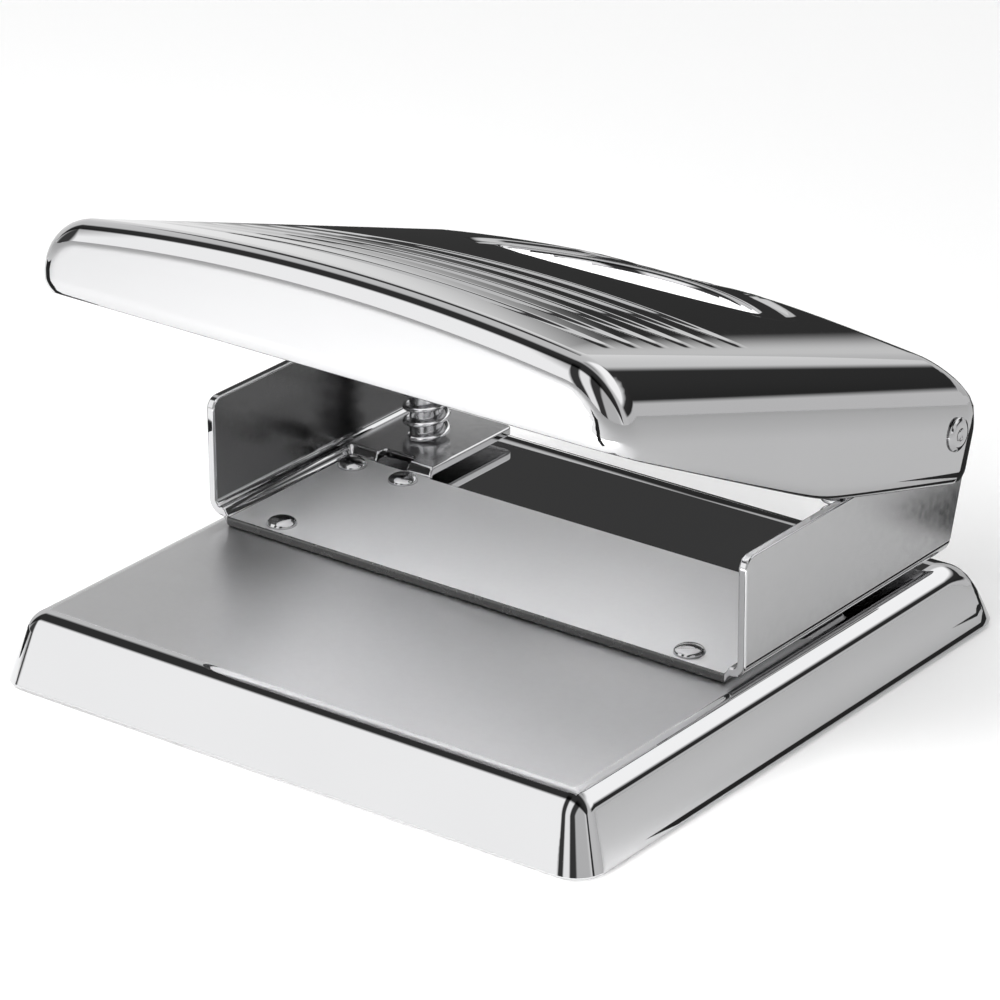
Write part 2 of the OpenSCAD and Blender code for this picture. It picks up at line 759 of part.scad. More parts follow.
module return_spring(side) {
    rings = len(wire_mids);
    points = [
        for (i = [0 : rings - 1], k = [0 : wire_sides - 1])
            let (a = 360 * k / wire_sides)
            wire_mids[i] + wire_d / 2 * (cos(a) * wire_outs[i] + sin(a) * [0, 0, 1])
    ];
    last = (rings - 1) * wire_sides;
    ends = [
        for (k = [1 : wire_sides - 2], half = [0, 1])
            half == 0 ? [0, k, k + 1] : [last, last + k + 1, last + k]
    ];
    color(steel) translate([side * punch_x, punch_y, 0])
        polyhedron(points, concat(skin(rings, wire_sides), ends));
}

// Push-in plastic cover that closes the base and catches the chips
module chip_cover() {
    wall_w = base_w - 2 * chip_wall_side;
    wall_d = base_d - 2 * chip_wall_end;
    post_x = base_w / 2 - foot_in;
    color(black_plastic) difference() {
        union() {
            translate([0, 0, rim_z]) linear_extrude(cover_t)
                round_rect(base_w - 2 * plate_in, base_d - 2 * plate_in, base_corner_r - plate_in);
            translate([0, 0, rim_z]) linear_extrude(cover_t + chip_wall_h) difference() {
                round_rect(wall_w, wall_d, chip_corner_r);
                round_rect(wall_w - 2 * chip_wall_t, wall_d - 2 * chip_wall_t, chip_corner_r - chip_wall_t);
            }
            for (s = [-1, 1]) {
                translate([s * post_x, foot_in - base_d / 2, rim_z])
                    cylinder(under_z - post_gap - rim_z, r = post_r);
                translate([s * (tab_mid - die_side) / 2, punch_y, rim_z])
                    cylinder(under_z - post_gap - rim_z, r = post_r);
            }
        }
        for (sx = [-1, 1], sy = [-1, 1])
            translate([sx * (base_w / 2 - foot_in), sy * (base_d / 2 - foot_in), rim_z - over])
                cylinder(foot_sink + over, r = foot_r + fix_clear);
        translate([0, plate_in - base_d / 2, rim_z - over]) cylinder(cover_t + 2 * over, r = notch_r);
    }
}

module foot_pads() {
    color(rubber) for (sx = [-1, 1], sy = [-1, 1])
        translate([sx * (base_w / 2 - foot_in), sy * (base_d / 2 - foot_in), 0])
            cylinder(foot_stand + foot_sink, r = foot_r);
}

base_pan();
die_plate(-1);  // die_plate_left
die_plate(1);  // die_plate_right
frame();
front_rivets();
guide_rivets();
return_spring(-1);  // return_spring_left
return_spring(1);  // return_spring_right
handle();
press_lug(-1);  // press_lug_left
press_lug(1);  // press_lug_right
pivot_axle();
pivot_washer(-1);  // pivot_washer_left
pivot_washer(1);  // pivot_washer_right
punch(-1);  // punch_left
punch(1);  // punch_right
spring_cup(-1);  // spring_cup_left
spring_cup(1);  // spring_cup_right
retaining_ring(-1);  // retaining_ring_left
retaining_ring(1);  // retaining_ring_right
chip_cover();
foot_pads();
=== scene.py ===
"""Looks of the two-hole punch: pressed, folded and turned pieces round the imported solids.

Sizes are millimetres in the classes of pieces, and metres in the meshes and in the studio. The
origin is the middle of the footprint on the table, +Z is up and the front is -Y.
"""
import logging
import math
from collections.abc import Callable, Iterable, Sequence
from dataclasses import dataclass
from enum import Enum
from typing import Protocol

import bpy
import numpy as np
from mathutils import Matrix, Vector
from mathutils.geometry import delaunay_2d_cdt


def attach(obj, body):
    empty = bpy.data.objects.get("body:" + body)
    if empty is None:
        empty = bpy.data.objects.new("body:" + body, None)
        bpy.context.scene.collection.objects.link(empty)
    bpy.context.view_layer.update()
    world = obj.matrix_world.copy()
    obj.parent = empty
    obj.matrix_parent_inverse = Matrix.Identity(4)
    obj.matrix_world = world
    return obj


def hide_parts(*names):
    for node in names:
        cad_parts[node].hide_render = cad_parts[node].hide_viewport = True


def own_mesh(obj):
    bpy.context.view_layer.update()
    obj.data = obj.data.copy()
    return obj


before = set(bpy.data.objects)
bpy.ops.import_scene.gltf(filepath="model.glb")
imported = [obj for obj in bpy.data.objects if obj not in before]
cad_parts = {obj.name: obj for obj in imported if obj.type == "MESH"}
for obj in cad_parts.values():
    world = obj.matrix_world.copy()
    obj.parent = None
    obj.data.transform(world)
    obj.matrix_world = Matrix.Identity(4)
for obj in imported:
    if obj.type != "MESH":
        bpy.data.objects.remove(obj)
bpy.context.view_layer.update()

LOG = logging.getLogger("two_hole_punch")

MM = 0.001
SIDES = (-1, 1)
Array = np.ndarray
Field = Callable[[Array], Array]
Pair = tuple[float, float]
Point = tuple[float, float, float]
Loop = list[Pair]
Faces = list[tuple[int, ...]]
Heights = Callable[[Array, Array], Array]
Stops = tuple[Pair, ...]
Socket = bpy.types.NodeSocket
Inputs = dict[str | int, float | Sequence[float] | Socket]

HALVINGS = 48  # of a ray's length, until it meets a skin
SAME_PLACE = 1e-6  # points nearer than this are one
PLACE_DIGITS = 4  # decimals at which points are welded
LEAST_AREA = 1e-7  # twice the area of the smallest triangle kept
LEAST_MITRE = 0.3  # keeps the sharp corners of a moved loop from running away
ON_AXIS = 1e-9  # radii below this lie on the axis
NO_TURN = np.eye(3)
UP = np.array([0.0, 0.0, 1.0])


class Body(Enum):
    """Moving bodies that the pieces ride on."""

    BASE = "base"
    LEVER = "lever"
    LEFT_PUNCH = "left_punch"
    RIGHT_PUNCH = "right_punch"
    COVER = "cover"


class Slot(Enum):
    """Material slots of the record."""

    BASE = "chrome_base"
    FRAME = "chrome_frame"
    HANDLE = "chrome_handle"
    FASTENER = "chrome_fastener"
    SPRING = "spring_steel"
    HARD = "hardened_steel"
    PLASTIC = "black_plastic"
    RUBBER = "foot_rubber"
    NYLON = "nylon"


class SubAssembly(Protocol):
    """Anything that makes and dresses pieces of the punch."""

    def build(self) -> list[bpy.types.Object]:
        """Makes and dresses the pieces, and gives them back."""


class Side(Enum):
    """Left and right of the middle plane, with the sign of X."""

    LEFT = -1
    RIGHT = 1

    @property
    def word(self) -> str:
        """Name of the side as it stands in the node names."""
        return self.name.lower()

    @property
    def punch_body(self) -> Body:
        """Body of the punch on this side."""
        return Body.LEFT_PUNCH if self is Side.LEFT else Body.RIGHT_PUNCH


def rounded_max(a: Array, b: Array, r: Array | float) -> Array:
    """Joins two distance fields with a round outer edge.

    Args:
        a: Distance to the first face, negative inside.
        b: Distance to the second face.
        r: Radius of the edge.

    Returns:
        Distance to the joined skin.
    """
    return np.minimum(np.maximum(a, b), -r) + np.hypot(np.maximum(a + r, 0), np.maximum(b + r, 0))


def smooth_step(low: float, high: float, value: Array) -> Array:
    """Smooth rise from 0 at low to 1 at high."""
    t = np.clip((value - low) / (high - low), 0, 1)
    return t * t * (3 - 2 * t)


def gradient(skin: Field, points: Array) -> Array:
    """Unit outward normals of a distance field.

    Args:
        skin: The distance field.
        points: Places on its skin.

    Returns:
        One unit vector per point.
    """
    step = 1e-3
    out = np.zeros_like(points)
    for axis in range(3):
        shift = np.zeros(3)
        shift[axis] = step
        out[:, axis] = skin(points + shift) - skin(points - shift)
    return out / np.linalg.norm(out, axis=1, keepdims=True)


def cast(skin: Field, origin: Array, direction: Array, reach: float = 60.0) -> Array:
    """Meets the skin of a distance field along rays that start inside it.

    Args:
        skin: The distance field.
        origin: Start of each ray.
        direction: Unit direction of each ray.
        reach: Length within which the skin is met.

    Returns:
        The places on the skin.
    """
    low = np.zeros(len(origin))
    high = np.full(len(origin), reach)
    for _ in range(HALVINGS):
        mid = (low + high) / 2
        inside = skin(origin + mid[:, None] * direction) < 0
        low = np.where(inside, mid, low)
        high = np.where(inside, high, mid)
    return origin + ((low + high) / 2)[:, None] * direction


def arc(mid: Pair, r: float, a0: float, a1: float, n: int) -> Loop:
    """Points of an arc in a plane.

    Args:
        mid: Middle of the arc.
        r: Radius.
        a0: First angle in degrees.
        a1: Last angle in degrees.
        n: Count of steps.

    Returns:
        n + 1 points.
    """
    turns = [math.radians(a0 + (a1 - a0) * i / n) for i in range(n + 1)]
    return [(mid[0] + r * math.cos(a), mid[1] + r * math.sin(a)) for a in turns]


def inside_loop(points: Array, loop: Array) -> Array:
    """Tells which plane points lie inside a closed loop.

    Args:
        points: The points.
        loop: The loop.

    Returns:
        True for each point inside.
    """
    x, y = points[:, 0], points[:, 1]
    hit = np.zeros(len(points), bool)
    for (x0, y0), (x1, y1) in zip(loop, np.roll(loop, -1, 0)):
        if y0 != y1:
            cross = ((y0 > y) != (y1 > y)) & (x < (x1 - x0) * (y - y0) / (y1 - y0) + x0)
            hit ^= cross
    return hit


def grow_loop(loop: Loop, by: float) -> Loop:
    """Moves a counter-clockwise loop outwards, or inwards where by is negative.

    Args:
        loop: The closed loop.
        by: Distance.

    Returns:
        The moved loop.
    """
    p = np.array(loop)
    before = p - np.roll(p, 1, 0)
    after = np.roll(p, -1, 0) - p
    na, nb = (np.stack([run[:, 1], -run[:, 0]], 1) / np.linalg.norm(run, axis=1, keepdims=True)
              for run in (before, after))
    n = na + nb
    n = n / np.maximum(np.sum(n * na, axis=1, keepdims=True), LEAST_MITRE)
    return [tuple(q) for q in p + by * n]


def fill_plane(loops: Sequence[Loop], lines: Sequence[Loop], extra: Array) -> tuple[Array, Faces]:
    """Fills a plane outline with triangles.

    Args:
        loops: The outline first, then the holes.
        lines: Open lines that no triangle may cross.
        extra: More points to use.

    Returns:
        Points and triangles, counter-clockwise.
    """
    coords: list[Vector] = []
    edges: list[tuple[int, int]] = []
    for loop in loops:
        first = len(coords)
        coords += [Vector(p) for p in loop]
        edges += [(first + i, first + (i + 1) % len(loop)) for i in range(len(loop))]
    for line in lines:
        first = len(coords)
        coords += [Vector(p) for p in line]
        edges += [(first + i, first + i + 1) for i in range(len(line) - 1)]
    coords += [Vector(p) for p in extra]
    points, _, faces, *_ = delaunay_2d_cdt(coords, edges, [], 0, SAME_PLACE)
    flat = np.array([tuple(p) for p in points])
    tri = np.array([tuple(f) for f in faces])
    mid = flat[tri].mean(1)
    keep = inside_loop(mid, np.array(loops[0]))
    for hole in loops[1:]:
        keep &= ~inside_loop(mid, np.array(hole))
    tri = tri[keep]
    a, b, c = flat[tri[:, 0]], flat[tri[:, 1]], flat[tri[:, 2]]
    area = (b[:, 0] - a[:, 0]) * (c[:, 1] - a[:, 1]) - (b[:, 1] - a[:, 1]) * (c[:, 0] - a[:, 0])
    tri[area < 0] = tri[area < 0][:, ::-1]
    return flat, [tuple(t) for t in tri[np.abs(area) > LEAST_AREA]]


@dataclass
class Skin:
    """An open surface with exact normals, that can be thickened into a sheet piece."""

    points: Array
    normals: Array
    faces: Faces
    depth: Array | None = None

    def welded(self) -> "Skin":
        """Makes points that share a place one, and drops unused points.

        Returns:
            The welded skin.
        """
        seen: dict[Point, int] = {}
        index = [seen.setdefault(tuple(np.round(p, PLACE_DIGITS)), len(seen)) for p in self.points]
        first = np.zeros(len(seen), int)
        for old, new in reversed(list(enumerate(index))):
            first[new] = old
        faces = []
        for face in self.faces:
            ring = [index[i] for i in face]
            ring = [v for k, v in enumerate(ring) if v != ring[k - 1]]
            if len(set(ring)) > 2:
                faces.append(tuple(ring))
        used = sorted({v for f in faces for v in f})
        place = {v: k for k, v in enumerate(used)}
        pick = first[used]
        depth = None if self.depth is None else self.depth[pick]
        faces = [tuple(place[v] for v in f) for f in faces]
        return Skin(self.points[pick], self.normals[pick], faces, depth)

    def rims(self) -> list[list[int]]:
        """Follows the open edges.

        Returns:
            Ordered loops of points, with the skin on their left.
        """
        half = {(f[k], f[(k + 1) % len(f)]) for f in self.faces for k in range(len(f))}
        follow = {a: b for a, b in half if (b, a) not in half}
        loops = []
        while follow:
            start = next(iter(follow))
            loop = [start]
            step = follow.pop(start)
            while step != start:
                loop.append(step)
                step = follow.pop(step)
            loops.append(loop)
        return loops

    def thickened(self, thickness: float, edge_r: float, steps: int = 3) -> "Skin":
        """Gives the skin a second side and round edges.

        Args:
            thickness: Thickness of the sheet.
            edge_r: Radius of its edges; the rim stands this far outside the skin.
            steps: Count of steps of each round.

        Returns:
            A closed skin.
        """
        down = -self.normals if self.depth is None else self.depth
        count = len(self.points)
        points = [self.points, self.points + thickness * down]
        normals = [self.normals, -self.normals]
        faces = list(self.faces) + [tuple(v + count for v in reversed(f)) for f in self.faces]
        total = 2 * count
        turns = [(k + 1) * math.pi / 2 / steps for k in range(steps)]
        stations = [(a, edge_r * (1 - math.cos(a))) for a in turns]
        stations += [(math.pi - a, thickness - h) for a, h in reversed(stations)]
        for loop in self.rims():
            at = self.points[loop]
            up = self.normals[loop]
            run = np.roll(at, -1, 0) - np.roll(at, 1, 0)
            out = np.cross(run, up)
            out /= np.linalg.norm(out, axis=1, keepdims=True)
            rings = [np.array(loop)]
            for a, h in stations:
                points.append(at + edge_r * math.sin(a) * out + h * down[loop])
                normals.append(math.sin(a) * out + math.cos(a) * up)
                rings.append(np.arange(total, total + len(loop)))
                total += len(loop)
            rings.append(np.array(loop) + count)
            for upper, lower in zip(rings, rings[1:]):
                for k in range(len(loop)):
                    m = (k + 1) % len(loop)
                    faces.append((int(lower[k]), int(lower[m]), int(upper[m]), int(upper[k])))
        return Skin(np.concatenate(points), np.concatenate(normals), faces)

    def moved(self, matrix: Array, place: Array) -> "Skin":
        """Returns the skin turned by a 3x3 matrix and then set at a place."""
        return Skin(self.points @ matrix.T + place, self.normals @ matrix.T, self.faces)

    def piece(self, name: str) -> bpy.types.Object:
        """Makes a scene object of the skin, in metres, with its exact normals.

        Args:
            name: Name of the piece.

        Returns:
            The new object.
        """
        mesh = bpy.data.meshes.new(name)
        mesh.from_pydata((self.points * MM).tolist(), [], self.faces)
        mesh.validate()
        mesh.shade_smooth()
        unit = self.normals / np.linalg.norm(self.normals, axis=1, keepdims=True)
        mesh.normals_split_custom_set_from_vertices(unit.tolist())
        return link(bpy.data.objects.new(name, mesh))


def link(obj: bpy.types.Object) -> bpy.types.Object:
    """Puts an object in the scene and returns it."""
    bpy.context.scene.collection.objects.link(obj)
    return obj


def joined(skins: Iterable[Skin]) -> Skin:
    """Puts several closed skins together as one.

    Args:
        skins: The skins.

    Returns:
        The one skin.
    """
    points, normals, faces, total = [], [], [], 0
    for skin in skins:
        points.append(skin.points)
        normals.append(skin.normals)
        faces += [tuple(v + total for v in f) for f in skin.faces]
        total += len(skin.points)
    return Skin(np.concatenate(points), np.concatenate(normals), faces)


def round_profile(corners: Sequence[Point], steps: int = 4, most: float = 0.45) -> Loop:
    """Rounds the corners of an open profile.

    Args:
        corners: Each corner as radius from the axis, height and corner radius.
        steps: Count of steps of each round.
        most: Share of an edge that a round may take.

    Returns:
        Points of the profile.
    """
    p = [np.array(c[:2], float) for c in corners]
    out: Loop = [tuple(p[0])]
    for before, here, after, corner in zip(p, p[1:], p[2:], corners[1:]):
        a, b = before - here, after - here
        la, lb = np.linalg.norm(a), np.linalg.norm(b)
        cut = min(corner[2], most * la, most * lb)
        for k in range(steps + 1):
            t = k / steps
            q = here + cut * ((1 - t) ** 2 * a / la + t ** 2 * b / lb)
            out.append(tuple(q))
    out.append(tuple(p[-1]))
    return out


def turned(profile: Sequence[Pair], steps: int = 48) -> Skin:
    """Turns a profile about the Z axis into a closed skin.

    Args:
        profile: Points as radius and height, from the top of the axis round to its bottom.
        steps: Count of steps round the axis.

    Returns:
        The closed skin.
    """
    p = np.array(profile, float)
    run = np.gradient(p, axis=0)
    side = np.stack([-run[:, 1], run[:, 0]], 1)
    side /= np.maximum(np.linalg.norm(side, axis=1, keepdims=True), ON_AXIS)
    turn = np.linspace(0, 2 * math.pi, steps, endpoint=False)
    c, s = np.cos(turn)[:, None], np.sin(turn)[:, None]
    level = np.ones_like(c)
    points, normals = (np.stack([c * q[:, 0], s * q[:, 0], level * q[:, 1]], 2).reshape(-1, 3)
                       for q in (p, side))
    n = len(p)
    faces = []
    for k in range(steps):
        m = (k + 1) % steps
        faces += [(k * n + i, k * n + i + 1, m * n + i + 1, m * n + i) for i in range(n - 1)]
    middle = np.tile(p[:, 0] < ON_AXIS, steps)
    normals[middle] = np.where(normals[middle][:, 2:] >= 0, 1, -1) * UP
    return Skin(points, normals, faces).welded()


@dataclass(frozen=True)
class Spine:
    """Rectangle inside a pressed form, from which its rim, rounds and top are met by rays."""

    half: float
    front: float
    rear: float
    level: Heights
    top_from: float
    pitch: float = 2.0
    fan: int = 12
    walls: int = 12
    rounds: int = 12

    def samples(self) -> tuple[Array, Array]:
        """Goes round the rectangle, counter-clockwise.

        Returns:
            Places along it and their outward directions.
        """
        nx = max(2, round(2 * self.half / self.pitch) + 1)
        ny = max(2, round((self.rear - self.front) / self.pitch) + 1)
        xs = np.linspace(-self.half, self.half, nx)
        ys = np.linspace(self.front, self.rear, ny)
        places: Loop = []
        turns: list[float] = []
        edges = [
            ([(x, self.front) for x in xs], -90.0),
            ([(self.half, y) for y in ys], 0.0),
            ([(x, self.rear) for x in xs[::-1]], 90.0),
            ([(-self.half, y) for y in ys[::-1]], 180.0),
        ]
        for line, turn in edges:
            places += line
            turns += [turn] * len(line)
            places += [line[-1]] * (self.fan - 1)
            turns += [turn + 90 * k / self.fan for k in range(1, self.fan)]
        a = np.radians(turns)
        return np.array(places), np.stack([np.cos(a), np.sin(a)], 1)


@dataclass(frozen=True)
class Collar:
    """A turned-down hole in a pressed form."""

    loop: Loop
    lip_r: float
    bottom: float
    rounds: int = 6
    walls: int = 4


def rim_rings(
    skin: Field, spine: Spine, low: Heights, passes: int = 4, start: float = 1.0,
    least: float = 0.05
) -> list[Array]:
    """Rings of a pressed form from its lower rim to the edge of its top.

    Args:
        skin: Distance field of the outside.
        spine: Rectangle that the rays start from.
        low: Height of the rim from the places met and the outward directions.
        passes: How often the rim is looked for, each time from the last places met.
        start: Depth below the edge of the top at which the first pass looks.
        least: Least height of the wall.

    Returns:
        The rings, lowest first.
    """
    places, out = spine.samples()
    level = spine.level(places, out)
    flat = np.column_stack([out, np.zeros(len(out))])
    rim = level - start
    for _ in range(passes):
        met = cast(skin, np.column_stack([places, rim]), flat)
        rim = np.minimum(low(met, out), level - least)
    rings = []
    for k in range(spine.walls):
        z = rim + (level - rim) * k / spine.walls
        rings.append(cast(skin, np.column_stack([places, z]), flat))
    for k in range(spine.rounds + 1):
        a = math.pi / 2 * k / spine.rounds
        way = np.column_stack([out * math.cos(a), np.full(len(out), math.sin(a))])
        rings.append(cast(skin, np.column_stack([places, level]), way))
    return rings


def strip_faces(rings: Sequence[Array], start: int) -> Faces:
    """Joins closed rings of equal count by faces.

    Args:
        rings: The rings, the first one lowest when seen from outside.
        start: Index of the first ring's first point.

    Returns:
        The faces.
    """
    n = len(rings[0])
    faces = []
    for j in range(len(rings) - 1):
        for k in range(n):
            m = (k + 1) % n
            a = start + j * n
            faces.append((a + k, a + m, a + n + m, a + n + k))
    return faces


def press(
    skin: Field, spine: Spine, low: Heights, extra: Array, collars: Sequence[Collar] = (),
    holes: Sequence[Loop] = ()
) -> Skin:
    """Makes the outside of a pressed form.

    Args:
        skin: Distance field of the outside.
        spine: Rectangle that the rays start from.
        low: Height of the lower rim.
        extra: More plane points for the top, where it has detail.
        collars: Turned-down holes in the top.
        holes: Plain holes in the top.

    Returns:
        An open skin with exact normals.
    """
    rings = rim_rings(skin, spine, low)
    places, _ = spine.samples()
    outline: Loop = []
    for p in places:
        if not outline or math.dist(outline[-1], p) > SAME_PLACE:
            outline.append((float(p[0]), float(p[1])))
    outline = outline[:-1] if math.dist(outline[0], outline[-1]) < SAME_PLACE else outline
    points = list(rings)
    faces = strip_faces(rings, 0)
    total = sum(len(r) for r in rings)
    flat, tri = fill_plane([outline, *[c.loop for c in collars], *holes], [], extra)
    start = np.column_stack([flat, np.full(len(flat), spine.top_from)])
    points.append(cast(skin, start, np.tile(UP, (len(flat), 1))))
    faces += [tuple(int(v) + total for v in t) for t in tri]
    total += len(flat)
    for collar in collars:
        edge = np.array(collar.loop)
        run = np.roll(edge, -1, 0) - np.roll(edge, 1, 0)
        inward = np.stack([-run[:, 1], run[:, 0]], 1) / np.linalg.norm(run, axis=1, keepdims=True)
        start = np.column_stack([edge, np.full(len(edge), spine.top_from)])
        mid = cast(skin, start, np.tile(UP, (len(edge), 1))) - collar.lip_r * UP
        reach = 4 * collar.lip_r
        hole_rings = []
        for k in range(collar.rounds + 1):
            a = math.pi / 2 * (1 - k / collar.rounds)
            way = np.column_stack([inward * math.cos(a), np.full(len(edge), math.sin(a))])
            hole_rings.append(cast(skin, mid, way, reach))
        for k in range(1, collar.walls + 1):
            z = mid[:, 2] + (collar.bottom - mid[:, 2]) * k / collar.walls
            way = np.column_stack([inward, np.zeros(len(edge))])
            hole_rings.append(cast(skin, np.column_stack([edge, z]), way, reach))
        points += hole_rings
        faces += strip_faces(hole_rings, total)
        total += sum(len(r) for r in hole_rings)
    every = np.concatenate(points)
    return Skin(every, gradient(skin, every), faces).welded()


def circle_loop(x: float, y: float, r: float, n: int = 40) -> Loop:
    """A closed circle as a counter-clockwise loop."""
    return arc((x, y), r, 0, 360, n)[:-1]


class Sum(Enum):
    """What a math node works out."""

    ADD = "ADD"
    MULTIPLY = "MULTIPLY"
    DIVIDE = "DIVIDE"
    MAXIMUM = "MAXIMUM"
    ARCSINE = "ARCSINE"
    ARCTAN2 = "ARCTAN2"


class Blending(Enum):
    """How a second colour joins a first."""

    OVER = "MIX"
    TIMES = "MULTIPLY"


@dataclass(frozen=True)
class Wiring:
    """A node tree of a material or of the surroundings, and the nodes they are wired from."""

    tree: bpy.types.NodeTree

    def feed(self, node: bpy.types.Node, inputs: Inputs) -> bpy.types.Node:
        """Links or sets inputs of a node.

        Args:
            node: The node.
            inputs: The output to link to each input, or the value to set there.

        Returns:
            The node.
        """
        for key, given in inputs.items():
            if isinstance(given, Socket):
                self.tree.links.new(given, node.inputs[key])
            else:
                node.inputs[key].default_value = given
        return node

    def add(self, kind: str, inputs: Inputs | None = None, **choices: str) -> bpy.types.Node:
        """Adds a node.

        Args:
            kind: Its type, without the words that every shader node's type starts with.
            inputs: Its inputs.
            **choices: Its settings, such as its operation.

        Returns:
            The node.
        """
        node = self.tree.nodes.new(f"ShaderNode{kind}")
        for word, choice in choices.items():
            setattr(node, word, choice)
        return self.feed(node, inputs or {})

    def work(self, what: Sum, a: Socket, b: Socket | float = 0.0) -> Socket:
        """The output of a calculation on one or two values."""
        return self.add("Math", {0: a, 1: b}, operation=what.value).outputs[0]

    def ease(self, value: Socket, low: float, high: float, top: float = 1.0) -> Socket:
        """Lets a value rise smoothly.

        Args:
            value: What the rise follows.
            low: Where it starts, at 0.
            high: Where it ends.
            top: What it ends at.

        Returns:
            The output.
        """
        span = {"Value": value, "From Min": low, "From Max": high, "To Max": top}
        return self.add("MapRange", span, interpolation_type="SMOOTHSTEP").outputs["Result"]

    def bands(self, value: Socket, whole: float, stops: Stops) -> Socket:
        """Turns a value into greys.

        Args:
            value: What the greys follow.
            whole: The value at the last stop.
            stops: Values and their greys.

        Returns:
            The output.
        """
        node = self.add("ValToRGB", {"Fac": self.work(Sum.DIVIDE, value, whole)})
        ramp = node.color_ramp
        while len(ramp.elements) < len(stops):
            ramp.elements.new(0.5)
        for element, (at, grey) in zip(ramp.elements, stops):
            element.position = at / whole
            element.color = (grey, grey, grey, 1)
        return node.outputs["Color"]

    def blend(self, factor: Socket, a: Socket | Sequence[float], b: Socket | Sequence[float],
              way: Blending = Blending.OVER) -> Socket:
        """Blends two colours.

        Args:
            factor: Share of the second.
            a: The first.
            b: The second.
            way: How they are blended.

        Returns:
            The output.
        """
        inputs = {"Factor": factor, "A": a, "B": b}
        node = self.add("Mix", inputs, data_type="RGBA", blend_type=way.value)
        return node.outputs["Result"]

    def show(self, shader: bpy.types.Node) -> None:
        """Makes a shader the material's surface."""
        self.feed(self.tree.nodes["Material Output"], {"Surface": shader.outputs[0]})


class Tone(Enum):
    """Ways in which the grain of a finish lies."""

    EVEN = (1.0, 1.0, 1.0)
    ALONG_X = (0.08, 1.0, 1.0)
    ALONG_Z = (1.0, 1.0, 0.08)


@dataclass(frozen=True)
class Finish:
    """A procedural finish: colour, gloss, and the marks of making and use."""

    name: str
    colour: Point
    worn: Point
    gloss: Pair
    metal: float = 1.0
    patch_scale: float = 60
    grain_scale: float = 700
    grain_depth: float = 0.0004
    grain: Tone = Tone.EVEN
    patch_detail: float = 3.0
    grain_detail: float = 4.0
    grain_span: Pair = (0.35, 0.7)

    def material(self) -> bpy.types.Material:
        """Builds the node material, once.

        Returns:
            The material.
        """
        found = bpy.data.materials.get(self.name)
        if found:
            return found
        made = bpy.data.materials.new(self.name)
        made.use_nodes = True
        wiring = Wiring(made.node_tree)
        place = wiring.add("TexCoord").outputs["Object"]
        lay = wiring.add("Mapping", {"Vector": place, "Scale": self.grain.value}).outputs["Vector"]
        patch = self.noise(wiring, place, self.patch_scale, self.patch_detail)
        grain = self.noise(wiring, lay, self.grain_scale, self.grain_detail)
        gloss = wiring.add("MapRange", {
            "Value": grain, "From Min": self.grain_span[0], "From Max": self.grain_span[1],
            "To Min": self.gloss[0], "To Max": self.gloss[1]})
        relief = wiring.add("Bump", {
            "Height": grain, "Strength": 1.0, "Distance": self.grain_depth * MM})
        wiring.feed(made.node_tree.nodes["Principled BSDF"], {
            "Base Color": wiring.blend(patch, (*self.colour, 1), (*self.worn, 1)),
            "Metallic": self.metal,
            "Roughness": gloss.outputs["Result"],
            "Normal": relief.outputs["Normal"]})
        return made

    @staticmethod
    def noise(wiring: Wiring, place: Socket, scale: float, detail: float) -> Socket:
        """The output of a noise texture of a scale and detail."""
        inputs = {"Vector": place, "Scale": scale, "Detail": detail}
        return wiring.add("TexNoise", inputs).outputs["Fac"]


def chrome(name: str, gloss: Pair = (0.01, 0.035), grey: float = 0.44) -> Finish:
    """Chrome plate over polished steel, a little blue and with faint patches.

    Args:
        name: Name of the finish.
        gloss: Least and most roughness.
        grey: How pale it is.

    Returns:
        The finish.
    """
    blue, patch = 0.005, 0.02
    colour = (grey, grey, grey + blue)
    worn = (grey - patch, grey - patch, grey - patch + blue)
    return Finish(name, colour, worn, gloss, patch_scale=35, grain_scale=900, grain_depth=0.00004)


def inside(name: str, colour: Point, worn: Point) -> Finish:
    """Dull inside of the handle, where the plating hardly reaches; given a near-black colour, it
    paints shade deep in the handle's rear.
    """
    return Finish(name, colour, worn, (0.5, 0.65), metal=0.2, patch_scale=45, grain_depth=0.002)


